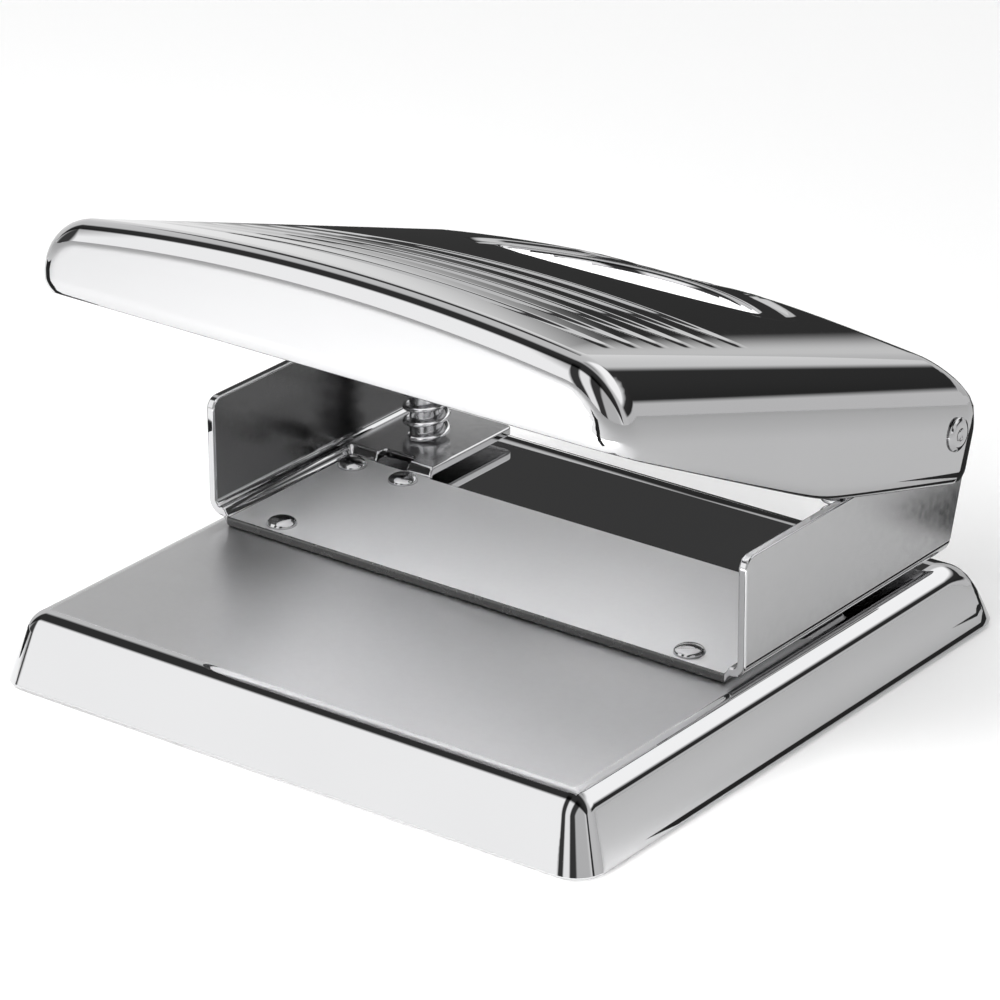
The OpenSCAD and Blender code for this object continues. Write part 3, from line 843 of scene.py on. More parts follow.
class Finishes:
    """The finishes of the punch."""

    BASE = chrome("base_plating")
    # painted light: a paler satin copy of the base plating, for the front part of the flat top
    BASE_TOP_PAINTED_LIGHT = chrome("base_top_plating", (0.34, 0.40), 0.56)
    FRAME = chrome("frame_plating")
    FLATS = chrome("frame_flat_plating", (0.20, 0.26))
    # painted shade: a dark copy of the frame plating, for the insides of the ears
    EARS_PAINTED_SHADE = Finish("ear_inside_plating", (0.13, 0.13, 0.13), (0.11, 0.11, 0.11), (0.16, 0.22),
                  patch_scale=35, grain_scale=900, grain_depth=0.00004)
    # painted light: a paler, rougher copy of the frame plating, for the top of the front strip
    STRIP_PAINTED_LIGHT = chrome("strip_plating", (0.52, 0.58), 0.80)
    # painted shade: dark cut edges, giving a dark line along the handle's rims and under the
    # strip's front edge
    EDGE_PAINTED_SHADE = Finish("cut_edge", (0.10, 0.10, 0.10), (0.07, 0.07, 0.07), (0.25, 0.35))
    HANDLE = chrome("handle_plating")
    INSIDE = inside("dull_inside", (0.80, 0.80, 0.80), (0.74, 0.74, 0.75))
    # painted shade: a near-black copy of the dull inside, for the rear of the handle's inside,
    # which the base top mirrors
    DEEP_PAINTED_SHADE = inside("inside_painted_shade", (0.06, 0.06, 0.06), (0.05, 0.05, 0.05))
    FASTENER = chrome("fastener_plating", (0.03, 0.09))
    SPRING = Finish("drawn_steel", (0.70, 0.70, 0.71), (0.55, 0.55, 0.56), (0.10, 0.22),
                    grain=Tone.ALONG_Z)
    HARD = Finish("ground_steel", (0.20, 0.20, 0.21), (0.12, 0.12, 0.13), (0.28, 0.45),
                  grain_scale=600, grain_depth=0.001, grain=Tone.ALONG_X)
    PLASTIC = Finish("moulded_plastic", (0.022, 0.022, 0.024), (0.03, 0.03, 0.032), (0.35, 0.5),
                     metal=0.0, patch_scale=40, grain_scale=1800, grain_depth=0.012)
    RUBBER = Finish("moulded_rubber", (0.015, 0.015, 0.015), (0.03, 0.03, 0.03), (0.7, 0.9),
                    metal=0.0, patch_scale=50, grain_scale=1200, grain_depth=0.02)
    NYLON = Finish("turned_nylon", (0.78, 0.77, 0.73), (0.70, 0.69, 0.65), (0.4, 0.55),
                   metal=0.0, grain_scale=900, grain_depth=0.004)


def dress(
    obj: bpy.types.Object, finish: Finish, slot: Slot, body: Body, nodes: Sequence[str] = ()
) -> bpy.types.Object:
    """Gives a new piece its finish and its place on a body.

    Args:
        obj: The piece.
        finish: Its finish.
        slot: The record's material slot; not used.
        body: The body it rides on.
        nodes: Solids that it stands for.

    Returns:
        The piece.
    """
    obj.data.materials.clear()
    obj.data.materials.append(finish.material())
    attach(obj, body.value)
    if nodes:
        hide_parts(*nodes)
    return obj


def refinish(obj: bpy.types.Object, faces: Iterable[int], finish: Finish) -> None:
    """Gives some faces of a piece a finish of their own.

    Args:
        obj: The piece.
        faces: Indices of the faces.
        finish: Their finish.
    """
    obj.data.materials.append(finish.material())
    for index in faces:
        obj.data.polygons[index].material_index = len(obj.data.materials) - 1


@dataclass
class BasePan:
    """Pressed base with sloped skirts, a flat top and a round rear edge."""

    half_w: float = 55.0
    half_d: float = 54.7
    top: float = 11.7
    rim: float = 0.6
    sheet: float = 1.2
    corner_r: float = 4.9
    corner_taper: float = 0.55
    draft: float = 18.5
    edge_r: float = 2.7
    roll_r: float = 12.4
    rim_r: float = 0.4
    hole_at: Pair = (40.0, 32.3)
    hole_r: float = 3.05
    flat_within: float = 0.03
    hidden_rows: Pair = (2.0, 18.0)
    row_points: int = 25
    ray_lift: float = 4.0
    roll_lift: float = 1.0

    def field(self, p: Array) -> Array:
        """Measures from the outside of the base.

        Args:
            p: Places.

        Returns:
            Their distances, negative inside.
        """
        x, y, z = p.T
        slope = math.radians(self.draft)
        inset = np.clip(z - self.rim, 0, self.top) * math.tan(slope)
        side = (np.abs(x) - self.half_w + inset) * math.cos(slope)
        front = (-y - self.half_d + inset) * math.cos(slope)
        rear = (y - self.half_d + inset) * math.cos(slope)
        corner = self.corner_r - self.corner_taper * inset
        plan = rounded_max(rounded_max(side, front, corner), rear, corner)
        mid_y, mid_z = self.half_d - self.roll_r, self.top - self.roll_r
        top = np.hypot(np.maximum(y - mid_y, 0), np.maximum(z - mid_z, 0)) - self.roll_r
        return rounded_max(plan, top, self.edge_r)

    def level(self, places: Array, out: Array) -> Array:
        """Heights from which the round edges are met."""
        rear = np.clip(out[:, 1], 0, 1) ** 2
        return (self.top - self.edge_r) * (1 - rear) + (self.rim + self.roll_lift) * rear

    def low(self, met: Array, out: Array) -> Array:
        """Height of the lower rim, the same all round."""
        return np.full(len(met), self.rim + self.rim_r)

    def build(self) -> list[bpy.types.Object]:
        """Makes and dresses the base.

        Returns:
            The one piece.
        """
        slope = math.radians(self.draft)
        inset = (self.top - self.rim) * math.tan(slope) + self.edge_r / math.cos(slope)
        spine = Spine(self.half_w - inset, inset - self.half_d, self.half_d - self.roll_r,
                      self.level, self.rim + self.ray_lift, pitch=4, walls=8)
        holes = [circle_loop(s * self.hole_at[0], self.hole_at[1], self.hole_r + self.rim_r)
                 for s in SIDES]
        across = np.linspace(-spine.half, spine.half, self.row_points)[1:-1]
        rows = np.array([(x, y) for y in self.hidden_rows for x in across])
        skin = press(self.field, spine, self.low, rows, holes=holes)
        piece = skin.thickened(self.sheet, self.rim_r).piece("base_pan_pressed")
        dress(piece, Finishes.BASE, Slot.BASE, Body.BASE, ["base_pan"])
        # painted light: the front part of the flat top gets the paler satin copy of the plating;
        # the part behind stays mirror chrome
        flat_z, painted_light_y = self.top - self.flat_within, sum(self.hidden_rows) / 2
        flat = [k for k, face in enumerate(skin.faces)
                if np.all(skin.points[list(face), 2] > flat_z)
                and skin.points[list(face), 1].mean() < painted_light_y]
        refinish(piece, flat, Finishes.BASE_TOP_PAINTED_LIGHT)
        return [piece]


@dataclass
class FoldedFrame:
    """Folded sheet with a front strip, raised side flanges, two ears and two guide tabs."""

    sheet: float = 1.5
    strip_top: float = 13.2
    lift: float = 1.4
    strip_front: float = -9.4
    stop_y: float = 21.3
    fold_run: float = 1.2
    low_x: float = 46.5
    raised_x: float = 47.7
    bend_x: float = 47.9
    bend_r: float = 1.0
    tab_in: float = 31.0
    tab_rear: float = 43.3
    ear_top: float = 32.4
    tab_corner_r: float = 1.0
    tab_notch: float = 0.6
    ear_corner_r: float = 2.0
    pivot: Pair = (42.3, 34.7)
    boss_r: float = 4.6
    rise: float = 30.0
    back: Pair = (49.5, 27.7)
    lean: float = 16.5
    heel_r: float = 4.0
    heel_to: float = -80.0
    slot: Pair = (6.2, 2.4)
    slot_x: float = 38.75
    slot_off: float = 0.1
    slot_corner_r: float = 0.6
    punch_at: Pair = (40.0, 32.3)
    punch_r: float = 2.8
    axle_r: float = 2.05
    edge_r: float = 0.35
    round_steps: int = 14
    corner_steps: int = 6
    small_steps: int = 4
    axle_steps: int = 24
    fold_steps: int = 9
    overrun: float = 2.0
    nearly: float = 0.01

    @property
    def bend_end(self) -> float:
        """Length along the sheet at which the ear stands upright."""
        return self.bend_x + self.bend_r * math.pi / 2

    @property
    def bend_z(self) -> float:
        """Height of the middle of the fold."""
        return self.strip_top + self.lift + self.bend_r

    def along(self, z: float) -> float:
        """Unfolds a height on the ear.

        Args:
            z: The height.

        Returns:
            Its length along the sheet from the middle plane.
        """
        if z >= self.bend_z:
            return self.bend_end + z - self.bend_z
        turn = math.acos(min(1.0, (self.bend_z - z) / self.bend_r))
        return self.bend_x + self.bend_r * turn

    def folded(self, flat: Array) -> Array:
        """Folds the flat sheet.

        Args:
            flat: Points on the flat sheet.

        Returns:
            Their places on the folded upper face.
        """
        u, y = flat.T
        a = np.abs(u)
        turn = np.clip((a - self.bend_x) / self.bend_r, 0, math.pi / 2)
        x = np.minimum(a, self.bend_x) + self.bend_r * np.sin(turn)
        side = smooth_step(self.low_x, self.raised_x, a)
        rear = smooth_step(self.stop_y, self.stop_y + self.fold_run, y)
        lift = self.lift * (1 - (1 - side) * (1 - rear))
        bend = self.bend_r * (1 - np.cos(turn)) + np.maximum(a - self.bend_end, 0)
        z = self.strip_top + lift + bend
        return np.stack([np.sign(u) * x, y, z], 1)

    def half_outline(self) -> Loop:
        """Outlines the right half of the flat sheet.

        Returns:
            Points from the front middle to the rear middle.
        """
        c, top, f = self.ear_corner_r, self.ear_top, self.strip_front
        py, pz = self.pivot
        lean, rise = math.radians(self.lean), math.radians(self.rise)
        level = self.strip_top + self.lift
        heel_z = level - self.sheet + self.heel_r
        back_y, back_z = self.back
        heel_y = back_y - (back_z - heel_z) * math.tan(lean) - self.heel_r / math.cos(lean)
        ear = arc((f + c, top - c), c, 180, 90, self.corner_steps)
        boss = arc((py, pz), self.boss_r, 90 + self.rise, 0, self.round_steps)
        ear.append((boss[0][0] - (boss[0][1] - top) / math.tan(rise), top))
        ear += [*boss, self.back]
        heel = arc((heel_y, heel_z), self.heel_r, -self.lean, self.heel_to, self.round_steps)
        ear += [q for q in heel if q[1] > level + 2 * self.nearly]
        loop: Loop = [(0.0, f), (self.tab_in, f), (self.bend_x, f)]
        loop += [(self.along(z), y) for y, z in ear]
        loop.append((self.bend_x, self.tab_rear))
        r, notch = self.tab_corner_r, self.tab_notch
        loop += arc((self.tab_in + r, self.tab_rear - r), r, 90, 180, self.small_steps)
        loop += [(self.tab_in, self.stop_y + notch), (self.tab_in - notch, self.stop_y)]
        loop.append((0.0, self.stop_y))
        return loop

    def openings(self) -> list[Loop]:
        """Outlines the relief slots, the punch holes and the axle holes.

        Returns:
            Three loops for each side.
        """
        (w, d), r = self.slot, self.slot_corner_r
        loops = []
        for s in SIDES:
            x0, y0 = s * self.slot_x, self.stop_y + self.slot_off
            box: Loop = []
            for sx, sy, a in ((1, 0, -90), (1, 1, 0), (-1, 1, 90), (-1, 0, 180)):
                cy = y0 + (d - r if sy else r)
                box += arc((x0 + sx * (w / 2 - r), cy), r, a, a + 90, self.small_steps)
            loops.append(grow_loop(box, self.edge_r))
            x, y = self.punch_at
            loops.append(circle_loop(s * x, y, self.punch_r + self.edge_r))
            y, z = self.pivot
            loops.append(circle_loop(s * self.along(z), y, self.axle_r + self.edge_r,
                                     self.axle_steps))
        return loops

    def fold_lines(self) -> list[Loop]:
        """Lays lines along the folds, so that the faces there are narrow.

        Returns:
            The lines of both sides.
        """
        cuts = [*np.linspace(self.low_x, self.raised_x, self.fold_steps),
                *np.linspace(self.bend_x, self.bend_end, self.fold_steps)]
        rows = np.linspace(self.stop_y, self.stop_y + self.fold_run, self.fold_steps)
        front, rear = self.strip_front - self.overrun, self.back[0] + 2 * self.overrun
        lines: list[Loop] = []
        for s in SIDES:
            lines += [[(s * u, front), (s * u, rear)] for u in cuts]
            lines += [[(s * (self.tab_in - self.overrun), y), (s * self.bend_x, y)] for y in rows]
        return lines

    def sheet_skin(self) -> Skin:
        """Cuts the flat sheet and folds it.

        Returns:
            Its upper face.
        """
        right = self.half_outline()
        outline = right + [(-u, y) for u, y in reversed(right[1:-1])]
        loops = [grow_loop(outline, -self.edge_r), *self.openings()]
        flat, tri = fill_plane(loops, self.fold_lines(), np.zeros((0, 2)))
        step = 1e-4
        du, dy = (self.folded(flat + way) - self.folded(flat - way) for way in step * np.eye(2))
        normals = np.cross(du, dy)
        normals /= np.linalg.norm(normals, axis=1, keepdims=True)
        level = np.abs(flat[:, :1]) <= self.bend_x
        return Skin(self.folded(flat), normals, tri, np.where(level, -UP, -normals)).welded()

    def dress_faces(self, piece: bpy.types.Object, skin: Skin) -> None:
        """Gives the flat faces a rougher plating, paints shade on the ears' insides and on the
        strip's front edge, and paints light on the strip.

        Args:
            piece: The frame.
            skin: Its upper face.
        """
        straight = 0.9999
        flats, ears, strip = [], [], []
        count = len(skin.faces)
        for k, face in enumerate(skin.faces):
            where, way = skin.points[list(face)], np.abs(skin.normals[list(face)]).max(1)
            if way.min() < straight:
                continue
            flats += [k, k + count]
            if np.abs(where[:, 0]).min() > self.bend_x:
                ears.append(k)
            elif where[:, 2].max() < self.strip_top + self.nearly:
                strip.append(k)
        refinish(piece, flats, Finishes.FLATS)
        # painted shade: the ears' insides get the dark copy of the plating
        refinish(piece, ears, Finishes.EARS_PAINTED_SHADE)
        # painted light: the strip's top gets the paler copy of the plating
        refinish(piece, strip, Finishes.STRIP_PAINTED_LIGHT)
        # painted shade: the rim faces along the strip's front get the dark edge finish, a dark line
        # under the strip
        front_y, end_x = (self.strip_front + self.edge_r) * MM, (self.low_x + self.edge_r) * MM
        corners = {v.index for v in piece.data.vertices if v.co.y < front_y and abs(v.co.x) < end_x}
        rims = piece.data.polygons[2 * count:]
        refinish(piece, [f.index for f in rims if corners.issuperset(f.vertices)], Finishes.EDGE_PAINTED_SHADE)

    def build(self) -> list[bpy.types.Object]:
        """Makes and dresses the frame.

        Returns:
            The one piece.
        """
        skin = self.sheet_skin()
        piece = skin.thickened(self.sheet, self.edge_r).piece("frame_folded")
        dress(piece, Finishes.FRAME, Slot.FRAME, Body.BASE, ["frame"])
        self.dress_faces(piece, skin)
        return [piece]


@dataclass
class Handle:
    """Pressed, crowned handle with grip grooves and a lens-shaped window.

    Its sizes are measured from the pivot, along its own slope.
    """

    pivot: Pair = (42.3, 34.7)
    tilt: float = 18.0
    half_w: float = 53.0
    sheet: float = 1.2
    front_y: float = -44.294
    rear: float = 7.0
    crown_z: float = 13.4
    crown_r: float = 333.0
    side_r: float = 9.0
    nose_r: float = 4.5
    tail_r: float = 11.0
    tail_span: Pair = (4.0, 12.0)
    rear_corner_r: float = 3.0
    front_low: Pair = (-90.4, -2.0)
    kink_low: Pair = (-33.1, -9.9)
    kink_soft: float = 0.8
    rear_low: float = -8.0
    heel_r: float = 4.0
    rear_open: float = 5.3
    rear_turn: Pair = (0.70, 0.93)
    rear_drop: float = 0.5
    lip_r: float = 3.5
    lip_in: float = 1.2
    lip_most: float = 0.95
    groove_at: float = 46.3
    groove_pitch: float = 6.8
    groove_count: int = 6
    groove_depth: float = 0.7
    groove_w: float = 1.7
    groove_half: float = 41.0
    window_at: float = 15.2
    window_half: float = 9.6
    window_r: float = 36.0
    window_tip_r: float = 2.0
    border_w: float = 5.5
    border_edge: Pair = (-1.4, 0.8)
    border_depth: float = 0.5
    collar_depth: float = 4.0
    hole_lip: float = 1.0
    rim_r: float = 0.4
    ray_from: float = 5.0
    painted_shade_from: float = -12.0
    collar_off: float = 0.2
    collar_from: float = 0.6

    @property
    def slope(self) -> Pair:
        """Cosine and sine of the tilt."""
        return math.cos(math.radians(self.tilt)), math.sin(math.radians(self.tilt))

    def low(self, y: Array) -> Array:
        """Follows the lower edge of the walls, with a soft kink and a round heel.

        Args:
            y: Places along the handle.

        Returns:
            Heights of the edge.
        """
        (fy, fz), (ky, kz) = self.front_low, self.kink_low
        first = fz + (y - fy) * (kz - fz) / (ky - fy)
        second = kz + (y - ky) * (self.rear_low - kz) / (self.rear - ky)
        edge = 0.5 * (first + second + np.hypot(first - second, self.kink_soft))
        over = np.clip(y - self.rear + self.heel_r, 0, self.heel_r)
        return edge + self.heel_r - np.sqrt(np.maximum(self.heel_r ** 2 - over ** 2, 0))

    def lens(self, x: Array, y: Array) -> Array:
        """Measures from the window's outline.

        Args:
            x: Places across the handle.
            y: Places along it.

        Returns:
            Distances, positive outside.
        """
        shift = self.window_r - self.window_half
        a = np.hypot(x, y + self.window_at + shift) - self.window_r
        b = np.hypot(x, y + self.window_at - shift) - self.window_r
        return rounded_max(a, b, self.window_tip_r)

    def relief(self, x: Array, y: Array) -> Array:
        """Sinks the grooves and the window's border.

        Args:
            x: Places across the handle.
            y: Places along it.

        Returns:
            Depths below the crown.
        """
        deep = np.zeros_like(x)
        fade = np.clip(1 - (x / self.groove_half) ** 2, 0, 1)
        for i in range(self.groove_count):
            off = y + self.groove_at + i * self.groove_pitch
            wave = 0.5 + 0.5 * np.cos(np.clip(off / self.groove_w, -1, 1) * math.pi)
            deep = deep + self.groove_depth * fade * wave
        inner, outer = (self.border_w + edge for edge in self.border_edge)
        border = 1 - smooth_step(inner, outer, self.lens(x, y))
        return deep + self.border_depth * border

    def field(self, p: Array) -> Array:
        """Measures from the outside of the handle, with the pivot at the origin.

        Args:
            p: Places.

        Returns:
            Their distances, negative inside.
        """
        x, y, z = p.T
        c, s = self.slope
        above = np.clip(self.lip_r - self.lip_in - (z - self.low(y)), 0, self.lip_r * self.lip_most)
        tuck = self.lip_r - np.sqrt(self.lip_r ** 2 - above ** 2)
        side = np.abs(x) - self.half_w + tuck
        nose = self.front_y - (self.pivot[0] + y * c + z * s) + tuck
        crown = self.crown_z - self.crown_r + np.sqrt(np.maximum(self.crown_r ** 2 - x * x, 1))
        top = z - crown + self.relief(x, y)
        bow = rounded_max(side, top, self.side_r)
        rounder = smooth_step(*self.tail_span, z)
        tail_r = self.rear_corner_r + (self.tail_r - self.rear_corner_r) * rounder
        whole = rounded_max(rounded_max(bow, nose, self.nose_r), y - self.rear, tail_r)
        return rounded_max(whole, -self.lens(x, y), self.hole_lip)

    def level(self, places: Array, out: Array) -> Array:
        """Sets where the rays to the round edges start.

        Args:
            places: Places along the spine.
            out: Their outward directions.

        Returns:
            Heights.
        """
        crown = self.crown_z - places[:, 0] ** 2 / (2 * self.crown_r)
        side = out[:, 0] ** 2
        tail = self.crown_z - self.rear_open - self.rear_drop
        ends = np.where(out[:, 1] < 0, self.nose_r, tail)
        return crown - self.side_r * side - ends * (1 - side)

    def rim(self, met: Array, out: Array) -> Array:
        """Height of the lower edge at the places met, up to the opening at the rear."""
        rear = smooth_step(*self.rear_turn, np.clip(out[:, 1], 0, 1))
        return self.low(met[:, 1]) * (1 - rear) + self.rear_open * rear + self.rim_r

    def window_loop(self, grow: float) -> Loop:
        """Outlines the window, counter-clockwise.

        Args:
            grow: Distance by which it is grown.

        Returns:
            The loop.
        """
        tip_steps, side_steps = 16, 40
        shift = self.window_r - self.window_half
        tip_x = math.sqrt((self.window_r - self.window_tip_r) ** 2 - shift ** 2)
        turn = math.degrees(math.atan2(shift, tip_x))
        side_r, tip_r = self.window_r + grow, self.window_tip_r + grow
        loop = arc((tip_x, 0), tip_r, -turn, turn, tip_steps)[:-1]
        loop += arc((0, -shift), side_r, turn, 180 - turn, side_steps)[:-1]
        loop += arc((-tip_x, 0), tip_r, 180 - turn, 180 + turn, tip_steps)[:-1]
        loop += arc((0, shift), side_r, 180 + turn, 360 - turn, side_steps)[:-1]
        return [(x, y - self.window_at) for x, y in loop]

    def detail_points(self, spine: Spine) -> Array:
        """Chooses plane points that catch the grooves, the border and the crown.

        Args:
            spine: Rectangle that the points stay in.

        Returns:
            The points.
        """
        columns, groove_steps, past, pitch, clear = 45, 5, 3.0, 2.0, 0.3
        first_ring, last_ring, ring_pitch, border_clear, rear_clear = 1.6, 1.8, 0.5, 2.0, 0.2
        xs = np.linspace(-spine.half, spine.half, columns)[1:-1]
        rows: list[float] = []
        for i in range(self.groove_count):
            mid = -self.groove_at - i * self.groove_pitch
            rows += [mid + k * self.groove_w / groove_steps
                     for k in range(-groove_steps - 1, groove_steps + 2)]
        rows += list(np.arange(past - self.groove_at, spine.rear, pitch))
        rows = [y for y in rows if spine.front + clear < y < spine.rear - clear]
        grid = np.array([(x, y) for y in rows for x in xs])
        grid = grid[self.lens(grid[:, 0], grid[:, 1]) > self.border_w + border_clear]
        grown = np.arange(first_ring, self.border_w + last_ring, ring_pitch)
        rings = [q for g in grown for q in self.window_loop(float(g))]
        near = np.array([q for q in rings if q[1] < spine.rear - rear_clear])
        return np.concatenate([grid, near])

    def dress_faces(self, piece: bpy.types.Object, skin: Skin) -> None:
        """Gives the inside and the collar a dull finish, and paints shade on the inside's rear and
        on the cut edges.

        Args:
            piece: The handle.
            skin: Its outside, before it was tilted.
        """
        count = len(skin.faces)
        middles = np.array([skin.points[list(face)].mean(0) for face in skin.faces])
        collar = ((self.lens(middles[:, 0], middles[:, 1]) < self.collar_off)
                  & (middles[:, 2] < self.crown_z - self.hole_lip - self.collar_from))
        dull = [*range(count, 2 * count), *np.flatnonzero(collar).tolist()]
        refinish(piece, dull, Finishes.INSIDE)
        # painted shade: the inside's faces towards the rear turn near-black
        deep = np.flatnonzero(middles[:, 1] > self.painted_shade_from) + count
        refinish(piece, deep.tolist(), Finishes.DEEP_PAINTED_SHADE)
        # painted shade: every cut edge of the handle is dark
        refinish(piece, range(2 * count, len(piece.data.polygons)), Finishes.EDGE_PAINTED_SHADE)

    def build(self) -> list[bpy.types.Object]:
        """Makes and dresses the handle.

        Returns:
            The one piece.
        """
        c, s = self.slope
        lean = math.tan(math.radians(self.tilt))
        nose_z = self.crown_z - self.nose_r
        front = self.front_low[0] - (nose_z - self.front_low[1]) * lean + self.nose_r / c
        spine = Spine(self.half_w - self.side_r, front, self.rear - self.tail_r, self.level,
                      self.ray_from, walls=14)
        collar = Collar(self.window_loop(self.hole_lip), self.hole_lip,
                        self.crown_z - self.collar_depth + self.rim_r)
        skin = press(self.field, spine, self.rim, self.detail_points(spine), [collar])
        turn = np.array([[1, 0, 0], [0, c, s], [0, -s, c]])
        shell = skin.thickened(self.sheet, self.rim_r)
        piece = shell.moved(turn, np.array([0, *self.pivot])).piece("handle_pressed")
        dress(piece, Finishes.HANDLE, Slot.HANDLE, Body.LEVER, ["handle"])
        self.dress_faces(piece, skin)
        return [piece]


@dataclass
class Rivets:
    """Flattened domed rivets that clamp the frame to the base."""

    strip_top: float = 13.2
    head_r: float = 2.4
    head_h: float = 1.1
    shank_r: float = 1.5
    tail_r: float = 2.0
    tail_h: float = 0.8
    dome_round: Pair = (0.9, 0.75)
    dome_steps: int = 12
    tail_round: Pair = (0.1, 0.35)
    front_at: Pair = (38.4, -6.2)
    front_low: float = 10.5
    guide_at: Pair = (38.75, 18.0)
    guide_apart: float = 5.1
    guide_low: float = 8.5

    def one(self, x: float, y: float, low: float) -> Skin:
        """Turns one rivet.

        Args:
            x: Its place across.
            y: Its place along.
            low: Height of the face that its closed tail clamps.

        Returns:
            The closed skin.
        """
        top, tail = self.strip_top, low - self.tail_h
        wide, high = self.dome_round
        turns = [math.pi / 2 * k / self.dome_steps for k in range(self.dome_steps + 1)]
        dome = [(self.head_r * math.sin(a) ** wide, top + self.head_h * math.cos(a) ** high)
                for a in turns]
        body = round_profile([
            (self.head_r, top, 0.0), (self.shank_r, top, 0.0), (self.shank_r, low, 0.0),
            (self.tail_r, low, self.tail_round[0]), (self.tail_r, tail, self.tail_round[1]),
            (0.0, tail, 0.0)])
        return turned(dome + body[1:]).moved(NO_TURN, np.array([x, y, 0.0]))

    def build(self) -> list[bpy.types.Object]:
        """Makes and dresses the front and the guide rivets.

        Returns:
            The two pieces.
        """
        (fx, fy), (gx, gy) = self.front_at, self.guide_at
        sets = {
            "front_rivets": [self.one(s * fx, fy, self.front_low) for s in SIDES],
            "guide_rivets": [self.one(s * gx + d * self.guide_apart, gy, self.guide_low)
                             for s in SIDES for d in SIDES],
        }
        return [dress(joined(skins).piece(f"{node}_domed"), Finishes.FASTENER, Slot.FASTENER,
                      Body.BASE, [node]) for node, skins in sets.items()]


@dataclass
class PunchSet:
    """Punch, return spring and spring cup of one side, with the groove that takes the retaining
    ring.
    """

    side: Side
    at: Pair = (40.0, 32.3)
    radius: float = 2.75
    tip: float = 13.3
    tip_land: float = 0.8
    tip_hollow: float = 0.5
    head_steps: int = 11
    sharp_r: float = 0.05
    tip_r: float = 0.08
    groove_r: float = 0.1
    dome: float = 37.897
    ring_low: float = 36.497
    ring_t: float = 0.8
    ring_groove: float = 0.5
    cup_low: float = 35.697
    cup_t: float = 0.8
    cup_skirt: float = 1.2
    cup_in: float = 4.2
    cup_wall: float = 0.6
    cup_play: float = 0.03
    cup_r: float = 0.4
    cup_lip_r: float = 0.2
    tab_top: float = 14.6
    wire_d: float = 0.85
    coil_r: float = 3.475
    coil_low: float = 15.075
    coil_high: float = 34.972
    coil_start: float = 280.0
    turns: int = 8
    travel: float = 4.2

    @property
    def place(self) -> Array:
        """Foot of the punch's axis."""
        return np.array([self.side.value * self.at[0], self.at[1], 0.0])

    def punch(self) -> Skin:
        """Turns the punch, with a hollow cutting end, a ring groove and a round head.

        Returns:
            The closed skin.
        """
        r, g, ring_top = self.radius, self.radius - self.ring_groove, self.ring_low + self.ring_t
        head = arc((0.0, self.dome), r, 90, 0, self.head_steps)
        body = round_profile([
            (r, self.dome, 0.0), (r, ring_top, self.groove_r), (g, ring_top, self.sharp_r),
            (g, self.ring_low, self.sharp_r), (r, self.ring_low, self.groove_r),
            (r, self.tip, self.tip_r), (self.tip_land * r, self.tip, self.sharp_r),
            (0.0, self.tip + self.tip_hollow * r, 0.0)])
        return turned([(0.0, head[0][1]), *head[1:-1], *body]).moved(NO_TURN, self.place)

    def cup(self) -> Skin:
        """Turns the cup that closes the top of the spring.

        Returns:
            The closed skin.
        """
        out, r, lip = self.cup_in + self.cup_wall, self.radius + self.cup_play, self.cup_lip_r
        top, low = self.cup_low + self.cup_t, self.cup_low - self.cup_skirt
        ring = round_profile([
            (r, top, 0.0), (out, top, self.cup_r), (out, low, lip), (self.cup_in, low, lip),
            (self.cup_in, self.cup_low, lip), (r, self.cup_low, lip / 2), (r, top, 0.0)])
        return turned(ring).moved(NO_TURN, self.place)

    def coil(self) -> Skin:
        """Winds the wire of the return spring, right-handed, with cut ends.

        Returns:
            The closed skin.
        """
        steps, sides, end_r, end_out, end_round = 28, 14, 0.8, 0.12, 0.3
        count = self.turns * steps
        i = np.arange(count + 1)
        a = math.radians(self.coil_start) + 2 * math.pi * i / steps
        out = np.stack([np.cos(a), np.sin(a), np.zeros_like(a)], 1)
        mids = self.coil_r * out
        mids[:, 2] = self.coil_low + (self.coil_high - self.coil_low) * i / count
        lead = np.array([[-math.sin(t), math.cos(t), 0.0] for t in (a[0], a[-1])]) * self.wire_d
        mids = np.concatenate([[mids[0] - lead[0]], mids, [mids[-1] + lead[1]]])
        out = np.concatenate([[out[0]], out, [out[-1]]])
        ring = (2 * math.pi * np.arange(sides) / sides)[None, :, None]
        along = np.gradient(mids, axis=0)
        along /= np.linalg.norm(along, axis=1, keepdims=True)
        rise = np.cross(out, along)
        spoke = np.cos(ring) * out[:, None, :] - np.sin(ring) * rise[:, None, :]
        r, n = self.wire_d / 2, len(mids)
        points = [(mids[:, None, :] + r * spoke).reshape(-1, 3)]
        normals = [spoke.reshape(-1, 3)]
        pairs = [(j, (j + 1) % sides) for j in range(sides)]
        faces = [(k + j, k + m, k + sides + m, k + sides + j)
                 for k in range(0, (n - 1) * sides, sides) for j, m in pairs]
        total = n * sides
        for end, sign in ((0, -1), (n - 1, 1)):
            way = sign * along[end]
            hub = mids[end] + end_out * self.wire_d * way
            points += [hub + end_r * r * spoke[end], hub[None]]
            normals += [way + end_round * spoke[end], way[None]]
            edge, last = end * sides, total + sides
            for j, m in pairs if sign > 0 else [pair[::-1] for pair in pairs]:
                faces += [(edge + j, edge + m, total + m, total + j), (total + j, total + m, last)]
            total += sides + 1
        wire = Skin(np.concatenate(points), np.concatenate(normals), faces)
        return wire.moved(NO_TURN, self.place)

    def build(self) -> list[bpy.types.Object]:
        """Makes and dresses the pieces of this side.

        Returns:
            The new pieces.
        """
        word, body = self.side.word, self.side.punch_body
        sets = (("punch", "ground", self.punch(), body), ("spring_cup", "drawn", self.cup(), body),
                ("return_spring", "wound", self.coil(), Body.BASE))
        pieces = [dress(skin.piece(f"{node}_{word}_{way}"), Finishes.SPRING, Slot.SPRING, carrier,
                        [f"{node}_{word}"]) for node, way, skin, carrier in sets]
        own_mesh(pieces[-1])
        return pieces


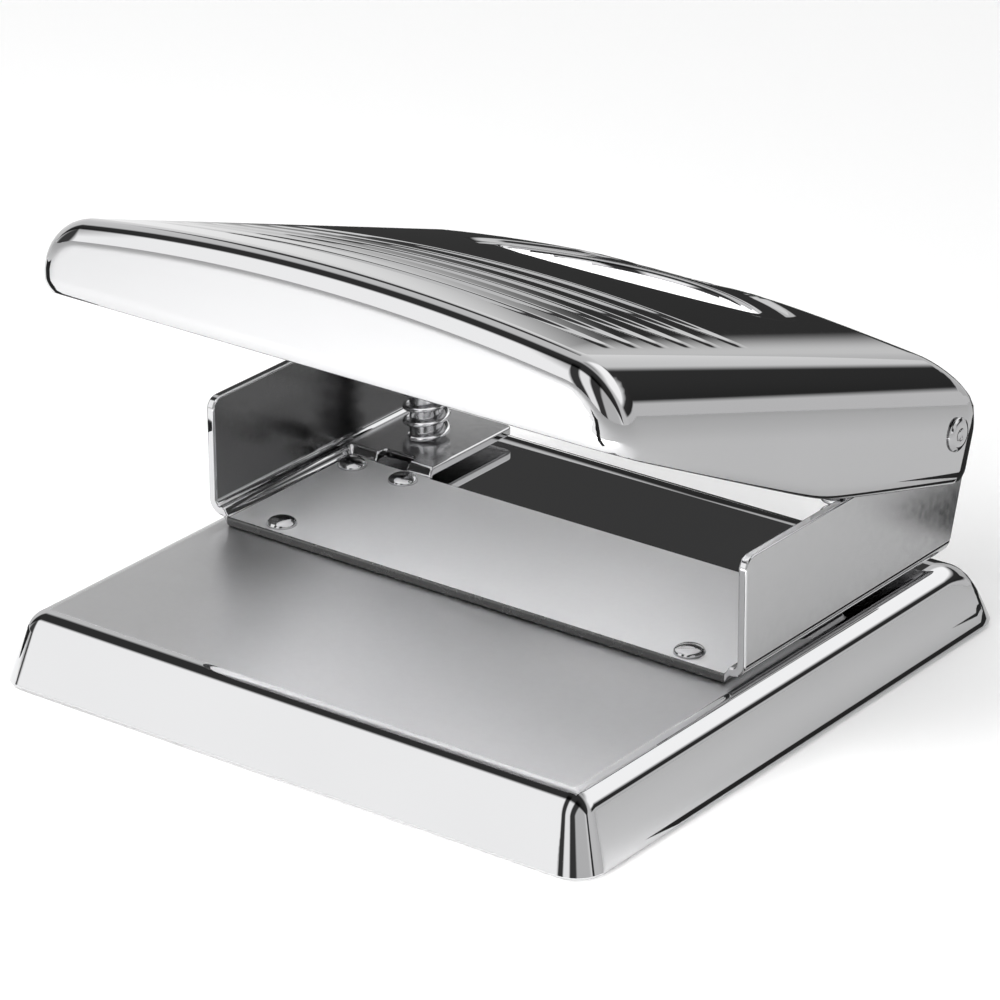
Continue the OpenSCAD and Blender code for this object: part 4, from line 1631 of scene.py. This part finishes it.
@dataclass
class PivotAxle:
    """Axle that turns in the ears, with a domed head outside each wall of the handle."""

    at: Pair = (42.3, 34.7)
    half_l: float = 53.0
    radius: float = 2.0
    head_r: float = 2.7
    head_h: float = 0.7
    head_flat: float = 0.75
    head_side: float = 0.25
    dimple: Point = (0.6, 1.0, 0.3)
    round_steps: int = 5

    def build(self) -> list[bpy.types.Object]:
        """Makes and dresses the axle.

        Returns:
            The one piece.
        """
        foot, top = self.half_l, self.half_l + self.head_h
        inner, outer, deep = self.dimple
        half = round_profile([
            (0.0, top - deep, 0.0), (inner, top - deep, 0.25), (outer, top, 0.3),
            (self.head_r * self.head_flat, top, 0.6), (self.head_r, foot + self.head_side, 0.2),
            (self.head_r, foot, 0.1), (self.radius, foot, 0.05), (self.radius, 0.0, 0.0)],
            self.round_steps)
        other = [(r, -z) for r, z in reversed(half[:-1])]
        lay = np.array([[0, 0, 1.0], [0, 1.0, 0], [-1.0, 0, 0]])
        skin = turned(half + other).moved(lay, np.array([0.0, *self.at]))
        piece = skin.piece("pivot_axle_turned")
        return [dress(piece, Finishes.FASTENER, Slot.FASTENER, Body.LEVER, ["pivot_axle"])]


@dataclass
class FootPads:
    """Four round rubber pads under the cover, each with a shallow hollow."""

    at: Pair = (43.0, 42.7)
    radius: float = 5.0
    height: float = 1.2
    ring_w: Pair = (1.1, 1.5)
    hollow: float = 0.25

    def build(self) -> list[bpy.types.Object]:
        """Makes and dresses the pads.

        Returns:
            The one piece.
        """
        r, h, deep = self.radius, self.height, self.hollow
        foot, inner = (r - w for w in self.ring_w)
        profile = round_profile([
            (0.0, h, 0.0), (r, h, 0.1), (r, 0.0, 0.35), (foot, 0.0, 0.2), (inner, deep, 0.2),
            (0.0, deep, 0.0)])
        x, y = self.at
        pads = [turned(profile).moved(NO_TURN, np.array([sx * x, sy * y, 0.0]))
                for sx in SIDES for sy in SIDES]
        piece = joined(pads).piece("foot_pads_moulded")
        return [dress(piece, Finishes.RUBBER, Slot.RUBBER, Body.COVER, ["foot_pads"])]


@dataclass
class PlainSolids:
    """Solids whose shape is right as it stands: they get a finish and softened edges."""

    edge: float = 0.15
    steps: int = 2
    sharp: float = 40.0

    def finish_of(self, name: str) -> tuple[Finish, Slot] | None:
        """Finds the finish of a solid.

        Args:
            name: Name of the solid.

        Returns:
            Its finish and slot, or nothing where a piece stands for it.
        """
        words = {
            "die_plate": (Finishes.HARD, Slot.HARD),
            "retaining_ring": (Finishes.HARD, Slot.HARD),
            "press_lug": (Finishes.SPRING, Slot.SPRING),
            "pivot_washer": (Finishes.NYLON, Slot.NYLON),
            "chip_cover": (Finishes.PLASTIC, Slot.PLASTIC),
        }
        return next((found for word, found in words.items() if name.startswith(word)), None)

    def build(self) -> list[bpy.types.Object]:
        """Dresses each of these solids.

        Returns:
            The solids.
        """
        kept = []
        for name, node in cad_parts.items():
            found = self.finish_of(name)
            if not found:
                continue
            finish, slot = found
            node.data.materials.clear()
            node.data.materials.append(finish.material())
            soft = node.modifiers.new("soft_edges", "BEVEL")
            soft.width = self.edge * MM
            soft.segments = self.steps
            soft.limit_method = "ANGLE"
            soft.angle_limit = math.radians(self.sharp)
            even = node.modifiers.new("even_shade", "WEIGHTED_NORMAL")
            even.keep_sharp = True
            kept.append(node)
        return kept


@dataclass(frozen=True)
class Lamp:
    """A soft lamp that lights the floor and the dull faces, and is not mirrored itself."""

    name: str
    size: Pair
    power: float
    at: Point
    to: Point

    def hang(self) -> None:
        """Hangs the lamp."""
        data = bpy.data.lights.new(self.name, "AREA")
        data.shape = "ELLIPSE"
        data.size, data.size_y = self.size
        data.energy = self.power
        obj = link(bpy.data.objects.new(self.name, data))
        turn = (Vector(self.to) - Vector(self.at)).to_track_quat("-Z", "Y")
        obj.matrix_world = Matrix.Translation(self.at) @ turn.to_matrix().to_4x4()
        obj.visible_glossy = False


@dataclass(frozen=True)
class Fade:
    """A stretch over which a card turns from dark to pale."""

    way: Point
    dark_to: float
    pale_from: float
    glow: float


@dataclass(frozen=True)
class Board:
    """A flat board of the studio that isn't part of the object."""

    name: str
    paint: str
    corners: Sequence[Vector]

    def lay(self) -> tuple[bpy.types.Object, Wiring]:
        """Lays the board, with no shader in its paint yet.

        Returns:
            The object and the wiring of its paint.
        """
        mesh = bpy.data.meshes.new(self.name)
        mesh.from_pydata(list(self.corners), [], [tuple(range(len(self.corners)))])
        obj = link(bpy.data.objects.new(self.name, mesh))
        made = bpy.data.materials.new(self.paint)
        made.use_nodes = True
        made.node_tree.nodes.remove(made.node_tree.nodes["Principled BSDF"])
        mesh.materials.append(made)
        return obj, Wiring(made.node_tree)


@dataclass
class Studio:
    """Pale floor, soft light all round and the camera of the photograph."""

    floor_half: float = 30.0
    floor_colour: Point = (0.9, 0.9, 0.9)
    floor_glow: float = 0.12
    lens: float = 174.96
    sensor: float = 36.0
    clip: Pair = (0.01, 100.0)
    camera_at: Point = (402.6, -531.4, 320.4)
    right: Point = (0.79650, 0.60463, 0.0)
    up: Point = (-0.24486, 0.32257, 0.91432)
    roll: float = -0.3
    world_strength: float = 2.0
    over_stops: Stops = ((0, 0.95), (66, 0.95), (74, 0.03), (104, 0.03), (113, 0.54), (180, 0.54))
    across_stops: Stops = (
        (0.0, 0.05), (0.20, 0.05), (0.28, 1.0), (0.58, 1.0), (0.66, 0.04), (0.88, 0.04),
        (0.96, 0.9), (1.22, 0.9), (1.30, 0.04), (1.55, 0.04), (1.62, 0.5), (2.0, 0.5))
    across_from: Pair = (0.1, -0.25)
    behind_stops: Stops = (
        (0, 0.5), (7.2, 0.5), (9.2, 0.02), (18, 0.03), (24, 1.0), (45, 1.0), (60, 0.3), (90, 0.2))
    behind_x: Pair = (-0.22, -0.10)
    behind_y: Pair = (0.3, 0.5)
    gap_sides: Stops = ((-48.0, -45.0), (-27.0, -30.0))
    gap_rises: Stops = ((15.0, 18.0), (31.0, 29.0))
    dusk: float = 0.04
    lamps: tuple[Lamp, ...] = (
        Lamp("overhead", size=(1.2, 1.2), power=3.0, at=(-0.2, 0.1, 1.4), to=(-0.2, 0.1, 0.0)),
        Lamp("front_wash", size=(0.20, 0.20), power=0.70, at=(-0.08, -0.16, 0.20),
             to=(-0.08, -0.16, 0.0)),
        Lamp("low_front", size=(0.20, 0.06), power=1.3, at=(0.05, -0.15, 0.004),
             to=(0.0, 0.0, 0.06)))
    rear_along: Point = (0.7965, 0.6046, 0.0)
    rear_off: float = 0.20
    rear_half: float = 0.30
    rear_top: float = 0.074
    rear_fades: tuple[Fade, ...] = (
        Fade(way=(-0.7965, -0.6046, 1.6), dark_to=0.045, pale_from=0.090, glow=0.95),
        Fade(way=(0.52569, 0.399036, 1.0), dark_to=0.089, pale_from=0.101, glow=0.80))
    card_z: float = 0.0008
    corner_reach: Pair = (0.04, 0.26)
    corner_cards: tuple[tuple[str, Pair, Pair], ...] = (
        ("front_card", (0.051, -0.042), (-174, -160)), ("left_card", (-0.053, -0.044), (-112, -80)))
    floor_cards: tuple[tuple[str, Pair, Pair], ...] = (
        ("behind_card", (-0.060, 0.075), (0.082, 0.260)),
        ("side_card", (0.057, -0.030), (0.064, 0.075)))

    def camera(self) -> None:
        """Sets the camera where the photograph was taken from."""
        data = bpy.data.cameras.new("camera")
        data.sensor_width = self.sensor
        data.sensor_fit = "HORIZONTAL"
        data.lens = self.lens
        data.clip_start, data.clip_end = self.clip
        obj = link(bpy.data.objects.new("camera", data))
        right, up = Vector(self.right).normalized(), Vector(self.up).normalized()
        back = right.cross(up)
        turn = Matrix((right, up, back)).transposed().to_4x4()
        obj.matrix_world = (Matrix.Translation(Vector(self.camera_at) * MM) @ turn
                            @ Matrix.Rotation(math.radians(self.roll), 4, "Z"))
        bpy.context.scene.camera = obj

    def floor(self) -> None:
        """Lays the pale floor, a little lighter to the eye and in mirrors."""
        h = self.floor_half
        _, wiring = Board("floor", "pale_floor", [
            Vector(corner) for corner in ((-h, -h, 0), (h, -h, 0), (h, h, 0), (-h, h, 0))]).lay()
        rays = wiring.add("LightPath").outputs
        seen = wiring.work(Sum.MAXIMUM, rays["Is Camera Ray"], rays["Is Glossy Ray"])
        seen = wiring.work(Sum.MAXIMUM, seen, rays["Is Transmission Ray"])
        plain = wiring.add("BsdfDiffuse", {"Color": (*self.floor_colour, 1)})
        lift = wiring.work(Sum.MULTIPLY, seen, self.floor_glow)
        glow = wiring.add("Emission", {"Strength": lift})
        wiring.show(wiring.add("AddShader", {0: plain.outputs[0], 1: glow.outputs[0]}))

    def surroundings(self) -> None:
        """Sets the light all round: long pale strips with dark gaps, and a dark wall low behind."""
        world = bpy.data.worlds.new("studio")
        bpy.context.scene.world = world
        world.use_nodes = True
        wiring = Wiring(world.node_tree)
        work, ease, bands, blend = wiring.work, wiring.ease, wiring.bands, wiring.blend
        degrees = math.degrees(1)
        way = wiring.add("TexCoord").outputs["Generated"]
        x, y, z = wiring.add("SeparateXYZ", {0: way}).outputs
        turn = work(Sum.MULTIPLY, work(Sum.ARCTAN2, z, work(Sum.MULTIPLY, y, -1.0)), degrees)
        over = bands(turn, 180.0, self.over_stops)
        across = bands(work(Sum.ADD, x, 1.0), 2.0, self.across_stops)
        front = blend(ease(y, *self.across_from), over, across, Blending.TIMES)
        rise = work(Sum.MULTIPLY, work(Sum.ARCSINE, z), degrees)
        behind = bands(rise, 90.0, self.behind_stops)
        right_rear = work(Sum.MULTIPLY, ease(x, *self.behind_x), ease(y, *self.behind_y))
        tent = blend(right_rear, front, behind)
        side = work(Sum.MULTIPLY, work(Sum.ARCTAN2, x, y), degrees)
        gap = work(Sum.MULTIPLY,
                   work(Sum.MULTIPLY, *(ease(side, *edge) for edge in self.gap_sides)),
                   work(Sum.MULTIPLY, *(ease(rise, *edge) for edge in self.gap_rises)))
        wiring.feed(world.node_tree.nodes["Background"], {
            "Strength": self.world_strength,
            "Color": blend(gap, tent, (self.dusk, self.dusk, self.dusk, 1))})

    def card(self, name: str, corners: Sequence[Vector], fades: Sequence[Fade] = ()) -> None:
        """Sets a dark card outside the picture for the polished faces to mirror.

        Args:
            name: Name of the card.
            corners: Its corners in metres, the lower edge first.
            fades: Where it turns pale.
        """
        obj, wiring = Board(name, name, corners).lay()
        strength: Socket | float = self.dusk
        for fade in fades:
            place = wiring.add("TexCoord").outputs["Object"]
            along = wiring.add("VectorMath", {0: place, 1: fade.way}, operation="DOT_PRODUCT")
            shade = wiring.ease(along.outputs["Value"], fade.dark_to, fade.pale_from, fade.glow)
            strength = wiring.work(Sum.MAXIMUM, shade, strength)
        wiring.show(wiring.add("Emission", {"Strength": strength}))
        obj.visible_camera = False
        obj.visible_diffuse = False
        obj.visible_shadow = False

    def cards(self) -> None:
        """Sets a low card behind, and flat cards by two corners, the right side and the rear."""
        along, rise = Vector(self.rear_along), Vector(UP)
        mid, half = rise.cross(along) * self.rear_off, along * self.rear_half
        left, right, top = mid - half, mid + half, rise * self.rear_top
        self.card("rear_card", [left, right, right + top, left + top], self.rear_fades)
        near, far = self.corner_reach
        for name, at, turns in self.corner_cards:
            corner = Vector((*at, self.card_z))
            a, b = (Vector((math.sin(turn), math.cos(turn), 0)) for turn in np.radians(turns))
            self.card(name, [corner + a * near, corner + a * far,
                             corner + b * far, corner + b * near])
        for name, (x0, y0), (x1, y1) in self.floor_cards:
            self.card(name, [Vector((x, y, self.card_z))
                             for x, y in ((x0, y0), (x1, y0), (x1, y1), (x0, y1))])

    def build(self) -> None:
        """Sets up the whole studio."""
        bpy.context.scene.view_settings.view_transform = "Standard"
        self.camera()
        self.floor()
        self.surroundings()
        for lamp in self.lamps:
            lamp.hang()
        self.cards()


def main() -> None:
    """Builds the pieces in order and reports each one."""
    logging.basicConfig(level=logging.INFO)
    Studio().build()
    parts: list[SubAssembly] = [
        BasePan(), FoldedFrame(), Handle(), Rivets(), *(PunchSet(side) for side in Side),
        PivotAxle(), FootPads(), PlainSolids()]
    for part in parts:
        for piece in part.build():
            LOG.info("%s: %s, %d faces", type(part).__name__, piece.name, len(piece.data.polygons))


if __name__ == "__main__":
    main()
